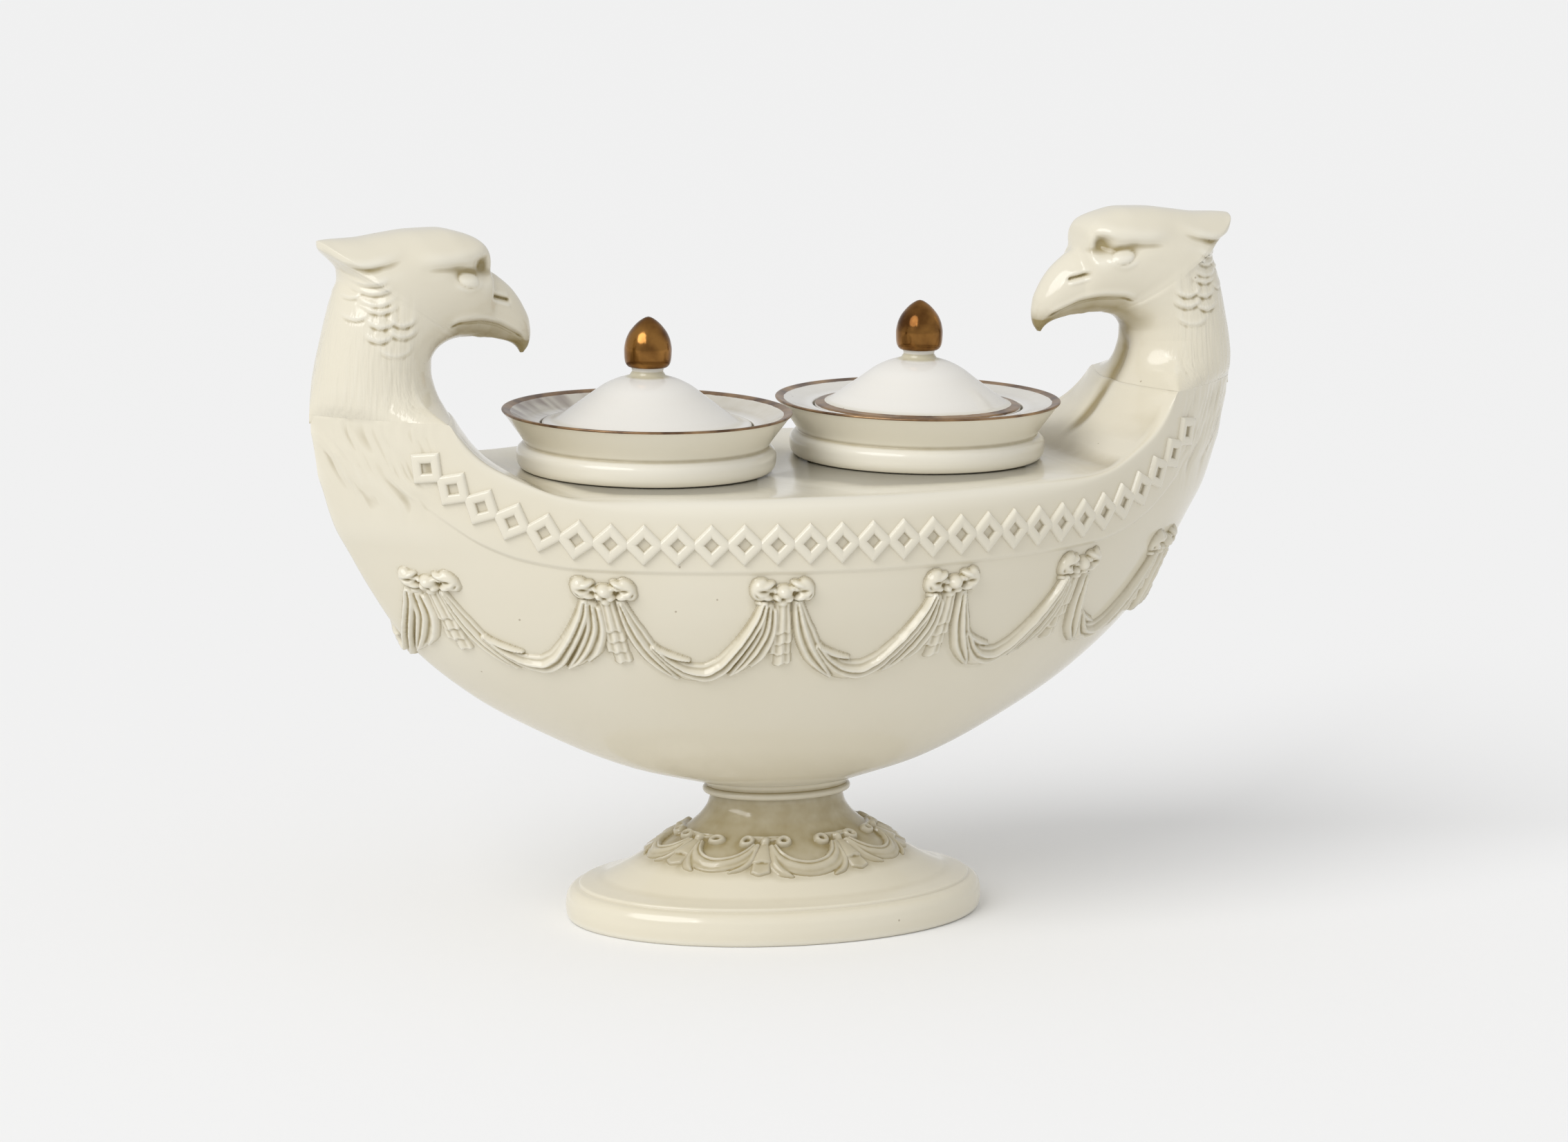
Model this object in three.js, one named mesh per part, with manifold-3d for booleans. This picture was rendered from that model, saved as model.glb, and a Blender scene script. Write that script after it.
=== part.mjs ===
// Boat-shaped ceramic inkstand on an oval foot, with two inward-facing eagle heads,
// a flat deck with two wells, and two lidded ink pots that lift out of the wells.
// Millimetres, +Z up, length along X. The origin is the centre of the foot's base.
import * as THREE from 'three';
import { mergeVertices } from 'three/addons/utils/BufferGeometryUtils.js';
import Module from 'manifold-3d';

const wasm = await Module();
wasm.setup();

// Driving dimensions
const halfLength = 140; // centre of the boat to the back of a neck
const halfWidth = 64; // centre of the boat to its side
const overallHeight = 199.7;
const hullBase = 39.6; // underside of the boat, on the collar
const deckTop = 129.5;
const prowTop = 149; // seam between a prow and the eagle's neck
const wall = 4.5; // thickness of the pressed clay
const joint = 0.3; // gap between two pieces that touch

// Foot and collar
const footHalfLength = 59.9;
const footHalfWidth = 41.9;
const footTop = 35;
const footRim = 11.3; // height of the foot's rounded rim
const footRimBulge = 1.6;
const footNeckHalfLength = 19.4;
const footNeckHalfWidth = 13.6;
const footLedge = 2.4; // step in from the rim to the slope
const footWall = 5.4;
const collarHalfLength = 21.8;
const collarHalfWidth = 15.5;
const collarBead = 1.3;

// Deck and wells
const deckThickness = 4.2;
const deckShoulder = 4.8; // how far the deck's top stops inside the side wall
const wellClearance = 0.8;
const prowGap = 2.4; // free deck between a pot's ring and the prow

// Pots and lids
const potRim = 40.7;
const potSpacing = 1.2; // free gap between the two rims
const potHeight = 16.8; // deck to rim
const potWaist = 34;
const potRing = 36.2;
const potRingHeight = 7.2;
const potBody = 30.6; // the part that hangs in the well
const potDrop = 12; // how far the body reaches below the deck
const potWall = 4.8;
const potFloor = 3.6;
const potWaistRise = 0.6; // from the ring's top to the narrowest place
const lipWidth = 2.2;
const lidRadius = 29.2;
const lidClearance = 0.6;
const lidThickness = 2.6;
const lidRise = 13.2; // lid edge to the foot of its neck
const lidNeckRadius = 4.6;
const lidNeckHeight = 2.4;
const lidEdge = 1.8;
const rightLidSeat = 3.9; // depth of the lid's ledge below the pot's rim
const leftLidSeat = 5.7;
const knobRadius = 6.65;
const knobHeight = 14;

// Sprigged ornament
const diamondPitch = 9.1;
const diamondCount = 29;
const diamondHalfHeight = 5.1;
const diamondHole = 2.3;
const diamondRelief = 1.1;
const diamondOverlap = 0.9; // how far neighbouring diamonds run into each other
const bowHalfWidth = 10.2;
const bowHalfHeight = 4.5;
const bowRelief = 2.6;
const tailLength = 15;
const tailHalfWidth = 2.7;
const swagHalfWidth = 2.4;
const swagRelief = 1.9;
const swagSag = 15.6;
const footBowHalfWidth = 7;
const footBowHalfHeight = 2.6;
const footBowRelief = 1.5;
const footSwagHalfWidth = 1.9;
const footSwagRelief = 1.2;
const footSwagSag = 5.6;
const footTailDrop = 7.8; // height from the middle of a foot bow to the end of its tail
const footTailHalfWidth = 1.6;
const footBows = 8;
const footSprigSeat = 0.55; // the slope is hollow, so its sprigs stand a little further off

// Fineness of the surfaces
const hullSides = 40;
const footSides = 32;
const potSides = 30;
const knobSides = 14;
const headSides = 16;
const prowSides = 8;
const overrun = 2; // how far a cutting body runs past what it cuts

const glaze = { color: 0xe9e4cf, roughness: 0.22, metalness: 0 };
const whiteGlaze = { color: 0xf1efe4, roughness: 0.18, metalness: 0 };
const gilding = { color: 0x9a6526, roughness: 0.32, metalness: 0.75 };

const group = new THREE.Group();

function addPiece(name, geometry, finish) {
  const mesh = new THREE.Mesh(geometry, new THREE.MeshStandardMaterial(finish));
  mesh.name = name;
  group.add(mesh);
  return mesh;
}

function clamp01(value) {
  return Math.min(1, Math.max(0, value));
}

// Smooth curve through hand-placed points, without overshoot
function curveThrough(xs, ys) {
  const last = xs.length - 1;
  const slopes = xs.slice(1).map((x, i) => (ys[i + 1] - ys[i]) / (x - xs[i]));
  const tangents = xs.map((x, i) => {
    if (i === 0) return slopes[0];
    if (i === last) return slopes[last - 1];
    const product = slopes[i - 1] * slopes[i];
    return product <= 0 ? 0 : (2 * product) / (slopes[i - 1] + slopes[i]);
  });
  return (x) => {
    let i = 0;
    while (i < last - 1 && x > xs[i + 1]) i += 1;
    const span = xs[i + 1] - xs[i];
    const t = clamp01((x - xs[i]) / span);
    const a = (1 + 2 * t) * (1 - t) ** 2;
    const b = t * t * (3 - 2 * t);
    return a * ys[i] + b * ys[i + 1]
      + span * (t * (1 - t) ** 2 * tangents[i] - t * t * (1 - t) * tangents[i + 1]);
  };
}

// Closed body from rings of equal point count, with a flat or pointed cap at each end
function loft(rings) {
  const count = rings[0].length;
  const points = rings.flat();
  const index = [];
  for (let r = 0; r < rings.length - 1; r += 1) {
    for (let i = 0; i < count; i += 1) {
      const j = (i + 1) % count;
      const low = r * count;
      const high = low + count;
      index.push(low + i, low + j, high + j, low + i, high + j, high + i);
    }
  }
  const centreOf = (ring) => ring
    .reduce((sum, p) => sum.add(p), new THREE.Vector3()).divideScalar(count);
  const first = points.push(centreOf(rings[0])) - 1;
  const lastCap = points.push(centreOf(rings.at(-1))) - 1;
  const top = (rings.length - 1) * count;
  for (let i = 0; i < count; i += 1) {
    const j = (i + 1) % count;
    index.push(first, j, i, lastCap, top + i, top + j);
  }
  const geometry = new THREE.BufferGeometry().setFromPoints(points);
  geometry.setIndex(index);
  return facingOut(geometry);
}

function facingOut(geometry) {
  const position = geometry.attributes.position;
  const index = geometry.index.array;
  const corners = [0, 1, 2].map(() => new THREE.Vector3());
  let volume = 0;
  for (let i = 0; i < index.length; i += 3) {
    corners.forEach((corner, k) => corner.fromBufferAttribute(position, index[i + k]));
    volume += corners[0].dot(corners[1].clone().cross(corners[2]));
  }
  if (volume < 0) {
    const turned = Array.from(index);
    for (let i = 0; i < turned.length; i += 3) {
      [turned[i + 1], turned[i + 2]] = [turned[i + 2], turned[i + 1]];
    }
    geometry.setIndex(turned);
  }
  return geometry;
}

function toManifold(geometry) {
  const bare = geometry.clone();
  bare.deleteAttribute('normal');
  bare.deleteAttribute('uv');
  const merged = mergeVertices(bare);
  return new wasm.Manifold(new wasm.Mesh({
    numProp: 3,
    vertProperties: new Float32Array(merged.attributes.position.array),
    triVerts: new Uint32Array(merged.index.array),
  }));
}

function toGeometry(solid) {
  const mesh = solid.getMesh();
  const geometry = new THREE.BufferGeometry();
  geometry.setAttribute('position', new THREE.BufferAttribute(mesh.vertProperties, 3));
  geometry.setIndex(Array.from(mesh.triVerts));
  return geometry;
}

function joinAll(geometries) {
  return toGeometry(geometries.map(toManifold).reduce((sum, solid) => sum.add(solid)));
}

function cutFrom(geometry, cutters) {
  const body = toManifold(geometry);
  return toGeometry(cutters.map(toManifold).reduce((rest, cutter) => rest.subtract(cutter), body));
}

// Turned piece: profile points are [radius, height]
function turned(profile, sides) {
  const points = profile.map(([r, z]) => new THREE.Vector2(r, z));
  const geometry = new THREE.LatheGeometry(points, sides);
  geometry.rotateX(Math.PI / 2);
  return toGeometry(toManifold(facingOut(mergeVertices(withoutNormals(geometry)))));
}

function withoutNormals(geometry) {
  geometry.deleteAttribute('normal');
  geometry.deleteAttribute('uv');
  return geometry;
}

// Hull: each level is a lens whose half length and half width follow these shares
const hullRise = prowTop - hullBase;
const levelShares = [0, 0.05, 0.141, 0.26, 0.406, 0.552, 0.644, 0.717, 0.822, 0.863, 1];
const lengthShares = [0.179, 0.329, 0.493, 0.657, 0.793, 0.874, 0.916, 0.948, 0.975, 0.984, 1];
const widthShares = [0.258, 0.406, 0.578, 0.74, 0.878, 0.974, 1, 0.998, 0.985, 0.98, 0.97];
const fullnessShares = [0.5, 0.56, 0.64, 0.71, 0.77, 0.82, 0.835, 0.836, 0.836, 0.836, 0.836];
const lengthShare = curveThrough(levelShares, lengthShares);
const widthShare = curveThrough(levelShares, widthShares);
const fullness = curveThrough(levelShares, fullnessShares);

function hullPoint(turn, z, inset = 0) {
  const level = (z - hullBase) / hullRise;
  const x = (halfLength * lengthShare(level) - inset) * Math.cos(turn);
  const side = Math.abs(Math.sin(turn)) ** (2 * fullness(level));
  const y = (halfWidth * widthShare(level) - inset) * Math.sign(Math.sin(turn)) * side;
  return new THREE.Vector3(x, y, z);
}

function hullSide(x, z, inset = 0) {
  const level = (z - hullBase) / hullRise;
  const reach = clamp01(Math.abs(x) / (halfLength * lengthShare(level) - inset));
  return (halfWidth * widthShare(level) - inset) * (1 - reach ** 2) ** fullness(level);
}

function hullRing(z, inset = 0) {
  return Array.from({ length: hullSides }, (_, i) => (
    hullPoint((2 * Math.PI * i) / hullSides, z, inset)));
}

// Prow: the hull's raised end, a wedge whose inner face sweeps up from the deck to the neck
const potOffset = potRim + potSpacing / 2;
const prowFoot = potOffset + potRing + prowGap;
const neckDepth = 32;
const neckFront = halfLength - neckDepth;
const prowCorner = 6; // rounding of the prow's inner edges where they meet the neck
const prowFootCorner = 0.3;
const sweepLevelShares = [0, 0.08, 0.24, 0.5, 0.78, 1];
const sweepShares = [0, 0.22, 0.45, 0.68, 0.88, 1];
const sweep = curveThrough(sweepLevelShares, sweepShares);

function prowFront(z) {
  const level = clamp01((z - deckTop) / (prowTop - deckTop));
  return prowFoot + (neckFront - prowFoot) * sweep(level);
}

function prowRing(z, inset = 0) {
  const level = (z - hullBase) / hullRise;
  const inner = prowFront(z) + inset;
  const outer = halfLength * lengthShare(level) - inset;
  const corner = prowFootCorner + prowCorner * clamp01((z - deckTop) / (prowTop - deckTop));
  const front = Array.from({ length: prowSides + 1 }, (_, i) => {
    const x = inner + ((outer - inner) * (1 - Math.cos((Math.PI * i) / prowSides))) / 2;
    const round = Math.sqrt(1 - (1 - clamp01((x - inner) / corner)) ** 2);
    return new THREE.Vector3(x, hullSide(x, z, inset) * round, z);
  });
  front[prowSides].y = 0;
  const back = front.slice(1, -1).reverse().map((p) => new THREE.Vector3(p.x, -p.y, p.z));
  return [...front, ...back];
}

function mirrored(geometry) {
  const copy = geometry.clone();
  copy.scale(-1, 1, 1);
  return facingOut(copy);
}

function hullShell() {
  const rimLevel = deckTop - deckThickness - joint;
  const levels = [0, 0.05, 0.14, 0.27, 0.42, 0.6, 0.8, 1];
  const outer = loft(levels.map((share) => hullRing(hullBase + share * (rimLevel - hullBase))));
  const floor = hullBase + wall;
  const cavityLevels = [0, 0.08, 0.25, 0.5];
  const cavity = loft([
    ...cavityLevels.map((share) => hullRing(floor + share * (rimLevel - floor), wall)),
    hullRing(rimLevel + overrun, wall),
  ]);
  const prowBottom = rimLevel - overrun;
  const prowRise = prowTop - joint / 2 - deckTop;
  const prowLevels = [0, 0.08, 0.3, 0.62, 1];
  const prow = loft([prowRing(prowBottom),
    ...prowLevels.map((share) => prowRing(deckTop + share * prowRise))]);
  const prowCavity = loft([
    prowRing(prowBottom - overrun, wall),
    prowRing(deckTop, wall),
    prowRing(deckTop + prowRise / 3, wall),
    prowRing(prowTop + overrun, wall),
  ]);
  const body = [outer, prow, mirrored(prow)].map(toManifold).reduce((a, b) => a.add(b));
  return toGeometry([cavity, prowCavity, mirrored(prowCavity)].map(toManifold)
    .reduce((rest, cutter) => rest.subtract(cutter), body));
}

addPiece('hull_shell', hullShell(), glaze);

// Deck: a lens-shaped plate with a rounded shoulder and a well for each pot
const wellRadius = potBody + wellClearance;
const deckEnd = prowFoot - joint;

function deckRing(z, inset) {
  const half = Array.from({ length: prowSides * 2 + 1 }, (_, i) => {
    const x = deckEnd * Math.sin((Math.PI * (i / (prowSides * 2) - 0.5)));
    return new THREE.Vector3(x, hullSide(x, z) - inset, z);
  });
  return [...half, ...half.slice().reverse().map((p) => new THREE.Vector3(p.x, -p.y, p.z))];
}

function deckPlate() {
  const insetShares = [0, 0.1, 0.4, 1];
  const heightShares = [0, 0.35, 0.75, 1];
  const plate = loft(insetShares.map((share, i) => (
    deckRing(deckTop - deckThickness * (1 - heightShares[i]), deckShoulder * share))));
  const wells = [-potOffset, potOffset].map((x) => {
    const well = new THREE.CylinderGeometry(
      wellRadius,
      wellRadius,
      deckThickness + 2 * overrun,
      potSides,
    );
    well.rotateX(Math.PI / 2);
    well.translate(x, 0, deckTop - deckThickness / 2);
    return well;
  });
  return cutFrom(plate, wells);
}

addPiece('deck_plate', deckPlate(), glaze);

// Foot: an oval pedestal with a round rim, a ledge and a hollow slope, open underneath
const slopeRise = footTop - footRim;
const slopeLevelShares = [0, 0.06, 0.18, 0.33, 0.44, 0.66, 0.85, 1];
const slopeShares = [1, 0.965, 0.88, 0.62, 0.43, 0.22, 0.1, 0];
const slope = curveThrough(slopeLevelShares, slopeShares);

function footHalves(z) {
  if (z <= footRim) {
    const share = z / footRim;
    const bulge = footRimBulge * Math.sin(Math.PI * share ** 0.8);
    const draw = footLedge * clamp01((share - 0.6) / 0.4) ** 2;
    return [footHalfLength + bulge - draw, footHalfWidth + bulge - draw];
  }
  const spread = slope((z - footRim) / slopeRise);
  const lengthGain = footHalfLength - footLedge - footRimBulge - footNeckHalfLength;
  const widthGain = footHalfWidth - footLedge - footRimBulge - footNeckHalfWidth;
  return [footNeckHalfLength + lengthGain * spread, footNeckHalfWidth + widthGain * spread];
}

function ovalRing(a, b, z, sides) {
  return Array.from({ length: sides }, (_, i) => {
    const turn = (2 * Math.PI * i) / sides;
    return new THREE.Vector3(a * Math.cos(turn), b * Math.sin(turn), z);
  });
}

function footPoint(turn, z) {
  const [a, b] = footHalves(z);
  return new THREE.Vector3(a * Math.cos(turn), b * Math.sin(turn), z);
}

function footBody() {
  const rim = [0, 0.2, 0.5, 0.8, 1].map((share) => share * footRim);
  const rise = slopeLevelShares.slice(1).map((share) => footRim + share * slopeRise);
  const outer = loft([...rim, ...rise].map((z) => ovalRing(...footHalves(z), z, footSides)));
  const roof = footTop - footWall;
  const hollowShares = [0, 0.35, 0.6, 0.8, 1];
  const hollow = loft([
    ovalRing(footHalfLength - footWall, footHalfWidth - footWall, -overrun, footSides),
    ...hollowShares.map((share) => {
      const z = share * roof;
      const [a, b] = footHalves(Math.max(z, footRim) + footWall * share);
      return ovalRing(a - footWall, b - footWall, z, footSides);
    }),
  ]);
  return cutFrom(outer, [hollow]);
}

addPiece('foot', footBody(), glaze);

function collar() {
  const rise = hullBase - footTop - 2 * joint;
  const heightShares = [0, 0.1, 0.25, 0.42, 0.5, 0.75, 1];
  const insetShares = [1, 0.3, 0, 0.4, 0.9, 0.5, -0.3];
  return loft(heightShares.map((share, i) => {
    const inset = collarBead * insetShares[i];
    const z = footTop + joint + share * rise;
    return ovalRing(collarHalfLength - inset, collarHalfWidth - inset, z, footSides);
  }));
}

addPiece('foot_collar', collar(), glaze);

// Eagle: ribs from the throat and jaw (front) to the neck's back, crown and beak (rear).
// Shares are of the head's reach from the neck's back and of its height above the seam.
const headReach = 63.8;
const headBase = prowTop + joint / 2;
const headHeight = overallHeight - headBase;
const headHalfWidth = 15.4;
const ribShares = [
  // back x, back z, front x, front z, half width, front fullness, back fullness
  [0.002, 0, 0.495, 0, 1.51, 0.35, 0.75],
  [0.016, 0.1, 0.488, 0.1, 1.26, 0.4, 0.62],
  [0.033, 0.22, 0.505, 0.22, 1.08, 0.46, 0.55],
  [0.052, 0.36, 0.545, 0.31, 1.01, 0.5, 0.5],
  [0.078, 0.51, 0.585, 0.35, 0.99, 0.5, 0.5],
  [0.108, 0.65, 0.612, 0.368, 0.99, 0.5, 0.5],
  [0.132, 0.75, 0.632, 0.376, 0.98, 0.5, 0.5],
  [0.098, 0.822, 0.64, 0.378, 0.985, 0.5, 0.62],
  [0.044, 0.905, 0.648, 0.38, 0.985, 0.5, 0.72],
  [0.08, 0.94, 0.655, 0.381, 0.985, 0.5, 0.68],
  [0.2, 0.945, 0.665, 0.383, 0.98, 0.48, 0.45],
  [0.34, 0.975, 0.68, 0.384, 0.97, 0.48, 0.38],
  [0.48, 0.992, 0.695, 0.385, 0.93, 0.46, 0.34],
  [0.61, 0.98, 0.715, 0.385, 0.88, 0.46, 0.32],
  [0.73, 0.935, 0.74, 0.383, 0.8, 0.46, 0.32],
  [0.805, 0.86, 0.77, 0.38, 0.7, 0.46, 0.34],
  [0.81, 0.765, 0.79, 0.378, 0.62, 0.46, 0.48],
  [0.86, 0.715, 0.81, 0.375, 0.57, 0.46, 0.52],
  [0.915, 0.64, 0.84, 0.37, 0.5, 0.46, 0.55],
  [0.965, 0.55, 0.875, 0.362, 0.4, 0.46, 0.55],
  [0.99, 0.465, 0.905, 0.348, 0.3, 0.46, 0.55],
  [1, 0.395, 0.93, 0.33, 0.21, 0.46, 0.55],
  [0.99, 0.335, 0.945, 0.305, 0.13, 0.5, 0.5],
  [0.965, 0.288, 0.955, 0.285, 0.05, 0.5, 0.5],
];
const hollowRibs = 6; // ribs that the neck's hollow follows
const browReach = 2.6; // how far the brow stands over the eye
const browRib = 12.6; // place of the brow's front among the ribs
const browSpread = 2.6;

function headRib(shares, ribNumber, inset = 0) {
  const [backX, backZ, frontX, frontZ, width, frontFull, backFull] = shares;
  const back = new THREE.Vector3(halfLength - headReach * backX, 0, headBase + headHeight * backZ);
  const front = new THREE.Vector3(halfLength - headReach * frontX, 0, headBase + headHeight * frontZ);
  const along = back.clone().sub(front);
  const length = along.length();
  along.normalize();
  const peak = frontFull / (frontFull + backFull);
  const norm = peak ** frontFull * (1 - peak) ** backFull;
  const browHere = browReach * Math.exp(-(((ribNumber - browRib) / browSpread) ** 2));
  return Array.from({ length: headSides }, (_, i) => {
    const turn = (2 * Math.PI * i) / headSides;
    const t = (1 - Math.cos(turn)) / 2;
    const bulge = (t ** frontFull * (1 - t) ** backFull) / norm;
    const brow = bulge * browHere * (Math.exp(-(((t - 0.8) / 0.12) ** 2))
      - Math.exp(-(((t - 0.5) / 0.14) ** 2)));
    const half = Math.max(0, (headHalfWidth * width - inset) * bulge + brow);
    const point = front.clone().addScaledVector(along, inset + (length - 2 * inset) * t);
    point.y = Math.sin(turn) >= 0 ? half : -half;
    return point;
  });
}

function eagle() {
  const outer = loft(ribShares.map((shares, i) => headRib(shares, i)));
  const hollow = ribShares.slice(0, hollowRibs).map((shares, i) => headRib(shares, i, wall));
  const below = hollow[0].map((p) => new THREE.Vector3(p.x, p.y, p.z - overrun));
  return cutFrom(outer, [loft([below, ...hollow])]);
}

const rightEagle = eagle();
addPiece('right_eagle', rightEagle, glaze);
addPiece('left_eagle', mirrored(rightEagle), glaze);

// Pots: a ring that sits on the deck, a waist, a flared rim, a ledge for the lid and a well
const mouthRadius = potBody - potWall;

function potProfile(lidSeat) {
  const base = -potDrop;
  const ringMid = joint + potRingHeight / 2;
  const waistHeight = joint + potRingHeight + potWaistRise;
  const ledge = potHeight - lidSeat;
  const ledgeRadius = lidRadius + lidClearance;
  return [
    [0, base], [potBody - lipWidth, base], [potBody, base + lipWidth], [potBody, joint],
    [potRing - lipWidth / 2, joint], [potRing, ringMid - lipWidth / 2],
    [potRing, ringMid + lipWidth / 2], [potWaist + lipWidth / 2, waistHeight - lipWidth / 4],
    [potWaist, waistHeight], [potWaist + lipWidth / 2, waistHeight + lipWidth],
    [potRim - lipWidth / 4, potHeight - lipWidth / 2], [potRim, potHeight - lipWidth / 4],
    [potRim - lipWidth / 4, potHeight], [potRim - lipWidth, potHeight - lipWidth / 4],
    [ledgeRadius + lipWidth, ledge + lidEdge], [ledgeRadius, ledge + lidEdge],
    [ledgeRadius, ledge], [mouthRadius, ledge],
    [mouthRadius, base + potFloor + lipWidth], [mouthRadius - lipWidth, base + potFloor],
    [0, base + potFloor],
  ];
}

function lidProfile() {
  const riseShares = [0.05, 0.24, 0.51, 0.8, 0.96];
  const radiusShares = [0.91, 0.76, 0.58, 0.38, 0.22];
  const shoulder = lidEdge + lidRise;
  const outer = riseShares.map((share, i) => [lidRadius * radiusShares[i], lidEdge + lidRise * share]);
  const inner = outer.slice(1, 4).map(([r, z]) => [r - lidThickness, z - lidThickness]).reverse();
  return [
    [0, shoulder - 2 * lidThickness], ...inner,
    [mouthRadius - lidThickness, 0], [lidRadius, 0], [lidRadius, lidEdge],
    ...outer, [lidNeckRadius, shoulder + lidNeckHeight / 2], [lidNeckRadius, shoulder + lidNeckHeight],
    [0, shoulder + lidNeckHeight],
  ];
}

function knobProfile() {
  const heightShares = [0, 0.04, 0.16, 0.34, 0.55, 0.75, 0.9, 0.975];
  const radiusShares = [0.6, 0.76, 0.93, 1, 0.92, 0.68, 0.38, 0.15];
  return [[0, 0], ...heightShares.map((share, i) => [knobRadius * radiusShares[i], knobHeight * share]),
    [0, knobHeight]];
}

function addPot(side, sign, lidSeat) {
  const x = sign * potOffset;
  const pot = addPiece(`${side}_ink_pot`, turned(potProfile(lidSeat), potSides), glaze);
  pot.position.set(x, 0, deckTop);
  const lid = addPiece(`${side}_lid`, turned(lidProfile(), potSides), whiteGlaze);
  const lidBase = deckTop + potHeight - lidSeat + joint;
  lid.position.set(x, 0, lidBase);
  const knob = addPiece(`${side}_lid_knob`, turned(knobProfile(), knobSides), gilding);
  knob.position.set(x, 0, lidBase + lidEdge + lidRise + lidNeckHeight + joint);
}

addPot('left', -1, leftLidSeat);
addPot('right', 1, rightLidSeat);

// Ornament laid on a surface: surface(turn, z) gives a point, and lift raises it off the clay
const probe = 0.004;

function lifted(surface, turn, z, height) {
  const point = surface(turn, z);
  const alongTurn = surface(turn + probe, z).sub(surface(turn - probe, z));
  const step = hullRise * probe;
  const alongZ = surface(turn, z + step).sub(surface(turn, z - step));
  const normal = alongTurn.cross(alongZ).normalize();
  if (normal.x * Math.cos(turn) + normal.y * Math.sin(turn) < 0) normal.negate();
  return { point: point.addScaledVector(normal, height), normal };
}

// Ribbon of clay: stations are { turn, z, half, relief } along its middle
function ribbon(surface, stations, seat = joint) {
  const seats = stations.map(({ turn, z }) => lifted(surface, turn, z, seat));
  return loft(seats.map(({ point, normal }, i) => {
    const before = seats[Math.max(0, i - 1)].point;
    const after = seats[Math.min(seats.length - 1, i + 1)].point;
    const side = after.clone().sub(before).cross(normal).normalize();
    const { half, relief } = stations[i];
    const raised = point.clone().addScaledVector(normal, relief);
    return [
      point.clone().addScaledVector(side, half),
      raised.clone().addScaledVector(side, half * 0.55),
      raised.clone().addScaledVector(side, half * -0.55),
      point.clone().addScaledVector(side, -half),
    ];
  }));
}

// Diamond chain along each side: equal steps of arc length, rising towards the ends
const chainLevelShare = 0.715; // of the hull's rise
const chainTopShare = 0.918;
const chainRiseStartShare = 0.44; // of the half length
const chainEndShare = 0.84;
const chainRisePower = 2.6;
const chainLevel = hullBase + chainLevelShare * hullRise;
const chainTop = hullBase + chainTopShare * hullRise;

function chainHeight(x) {
  const along = Math.abs(x) / halfLength;
  const share = clamp01((along - chainRiseStartShare) / (chainEndShare - chainRiseStartShare));
  return chainLevel + (chainTop - chainLevel) * share ** chainRisePower;
}

function chainPoint(x, sign, height) {
  const z = chainHeight(x);
  const level = (z - hullBase) / hullRise;
  const turn = sign * Math.acos(Math.min(1, Math.max(-1, x / (halfLength * lengthShare(level)))));
  return lifted(hullPoint, turn, z, height);
}

function chainPlaces() {
  const places = [0];
  const fineStep = diamondPitch / 40;
  let x = 0;
  let travelled = 0;
  let last = chainPoint(0, -1, 0).point;
  while (places.length < (diamondCount + 1) / 2) {
    x += fineStep;
    const next = chainPoint(x, -1, 0).point;
    travelled += next.distanceTo(last);
    last = next;
    if (travelled >= diamondPitch) {
      travelled -= diamondPitch;
      places.push(x);
    }
  }
  return [...places.slice(1).reverse().map((place) => -place), ...places];
}

function diamond(x, sign) {
  const { point, normal } = chainPoint(x, sign, joint);
  const nudge = diamondPitch / 10;
  const along = chainPoint(x + nudge, sign, joint).point
    .sub(chainPoint(x - nudge, sign, joint).point).normalize();
  const across = normal.clone().cross(along).normalize();
  const halfAlong = (diamondPitch + diamondOverlap) / 2;
  const corners = [[1, 0], [0, 1], [-1, 0], [0, -1]];
  const sections = corners.map(([u, v]) => {
    const place = (a, b, h) => point.clone().addScaledVector(along, u * a)
      .addScaledVector(across, v * b).addScaledVector(normal, h);
    const crown = 0.8;
    return [
      place(halfAlong, diamondHalfHeight, 0),
      place(halfAlong * crown, diamondHalfHeight * crown, diamondRelief),
      place(diamondHole, diamondHole, 0),
    ];
  });
  const index = [];
  const depth = sections[0].length;
  for (let c = 0; c < 4; c += 1) {
    for (let k = 0; k < depth; k += 1) {
      const a = c * depth + k;
      const b = c * depth + ((k + 1) % depth);
      const d = ((c + 1) % 4) * depth + k;
      const e = ((c + 1) % 4) * depth + ((k + 1) % depth);
      index.push(a, b, e, a, e, d);
    }
  }
  const geometry = new THREE.BufferGeometry().setFromPoints(sections.flat());
  geometry.setIndex(index);
  return facingOut(geometry);
}

const diamondPlaces = chainPlaces();
addPiece('front_diamond_chain', joinAll(diamondPlaces.map((x) => diamond(x, -1))), glaze);
addPiece('back_diamond_chain', joinAll(diamondPlaces.map((x) => diamond(x, 1))), glaze);

// Bow with two loops, a knot and a pleated tail
function bow(surface, turn, z, turnPerLength, sizes) {
  const acrossShares = [-1, -0.65, -0.22, 0, 0.22, 0.65, 1];
  const halfShares = [0.5, 1, 0.55, 0.75, 0.55, 1, 0.5];
  const reliefShares = [0.4, 1, 0.6, 1, 0.6, 1, 0.4];
  const loops = ribbon(surface, acrossShares.map((share, i) => ({
    turn: turn + share * sizes.halfWidth * turnPerLength,
    z,
    half: sizes.halfHeight * halfShares[i],
    relief: sizes.relief * reliefShares[i],
  })), sizes.seat);
  const downShares = [0.1, 0.45, 0.75, 1];
  const flareShares = [0.5, 0.65, 0.95, 1.1];
  const tail = ribbon(surface, downShares.map((share, i) => ({
    turn,
    z: z - sizes.tailDrop * share,
    half: sizes.tailHalfWidth * flareShares[i],
    relief: sizes.relief * 0.55,
  })), sizes.seat);
  return joinAll([loops, tail]);
}

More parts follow.
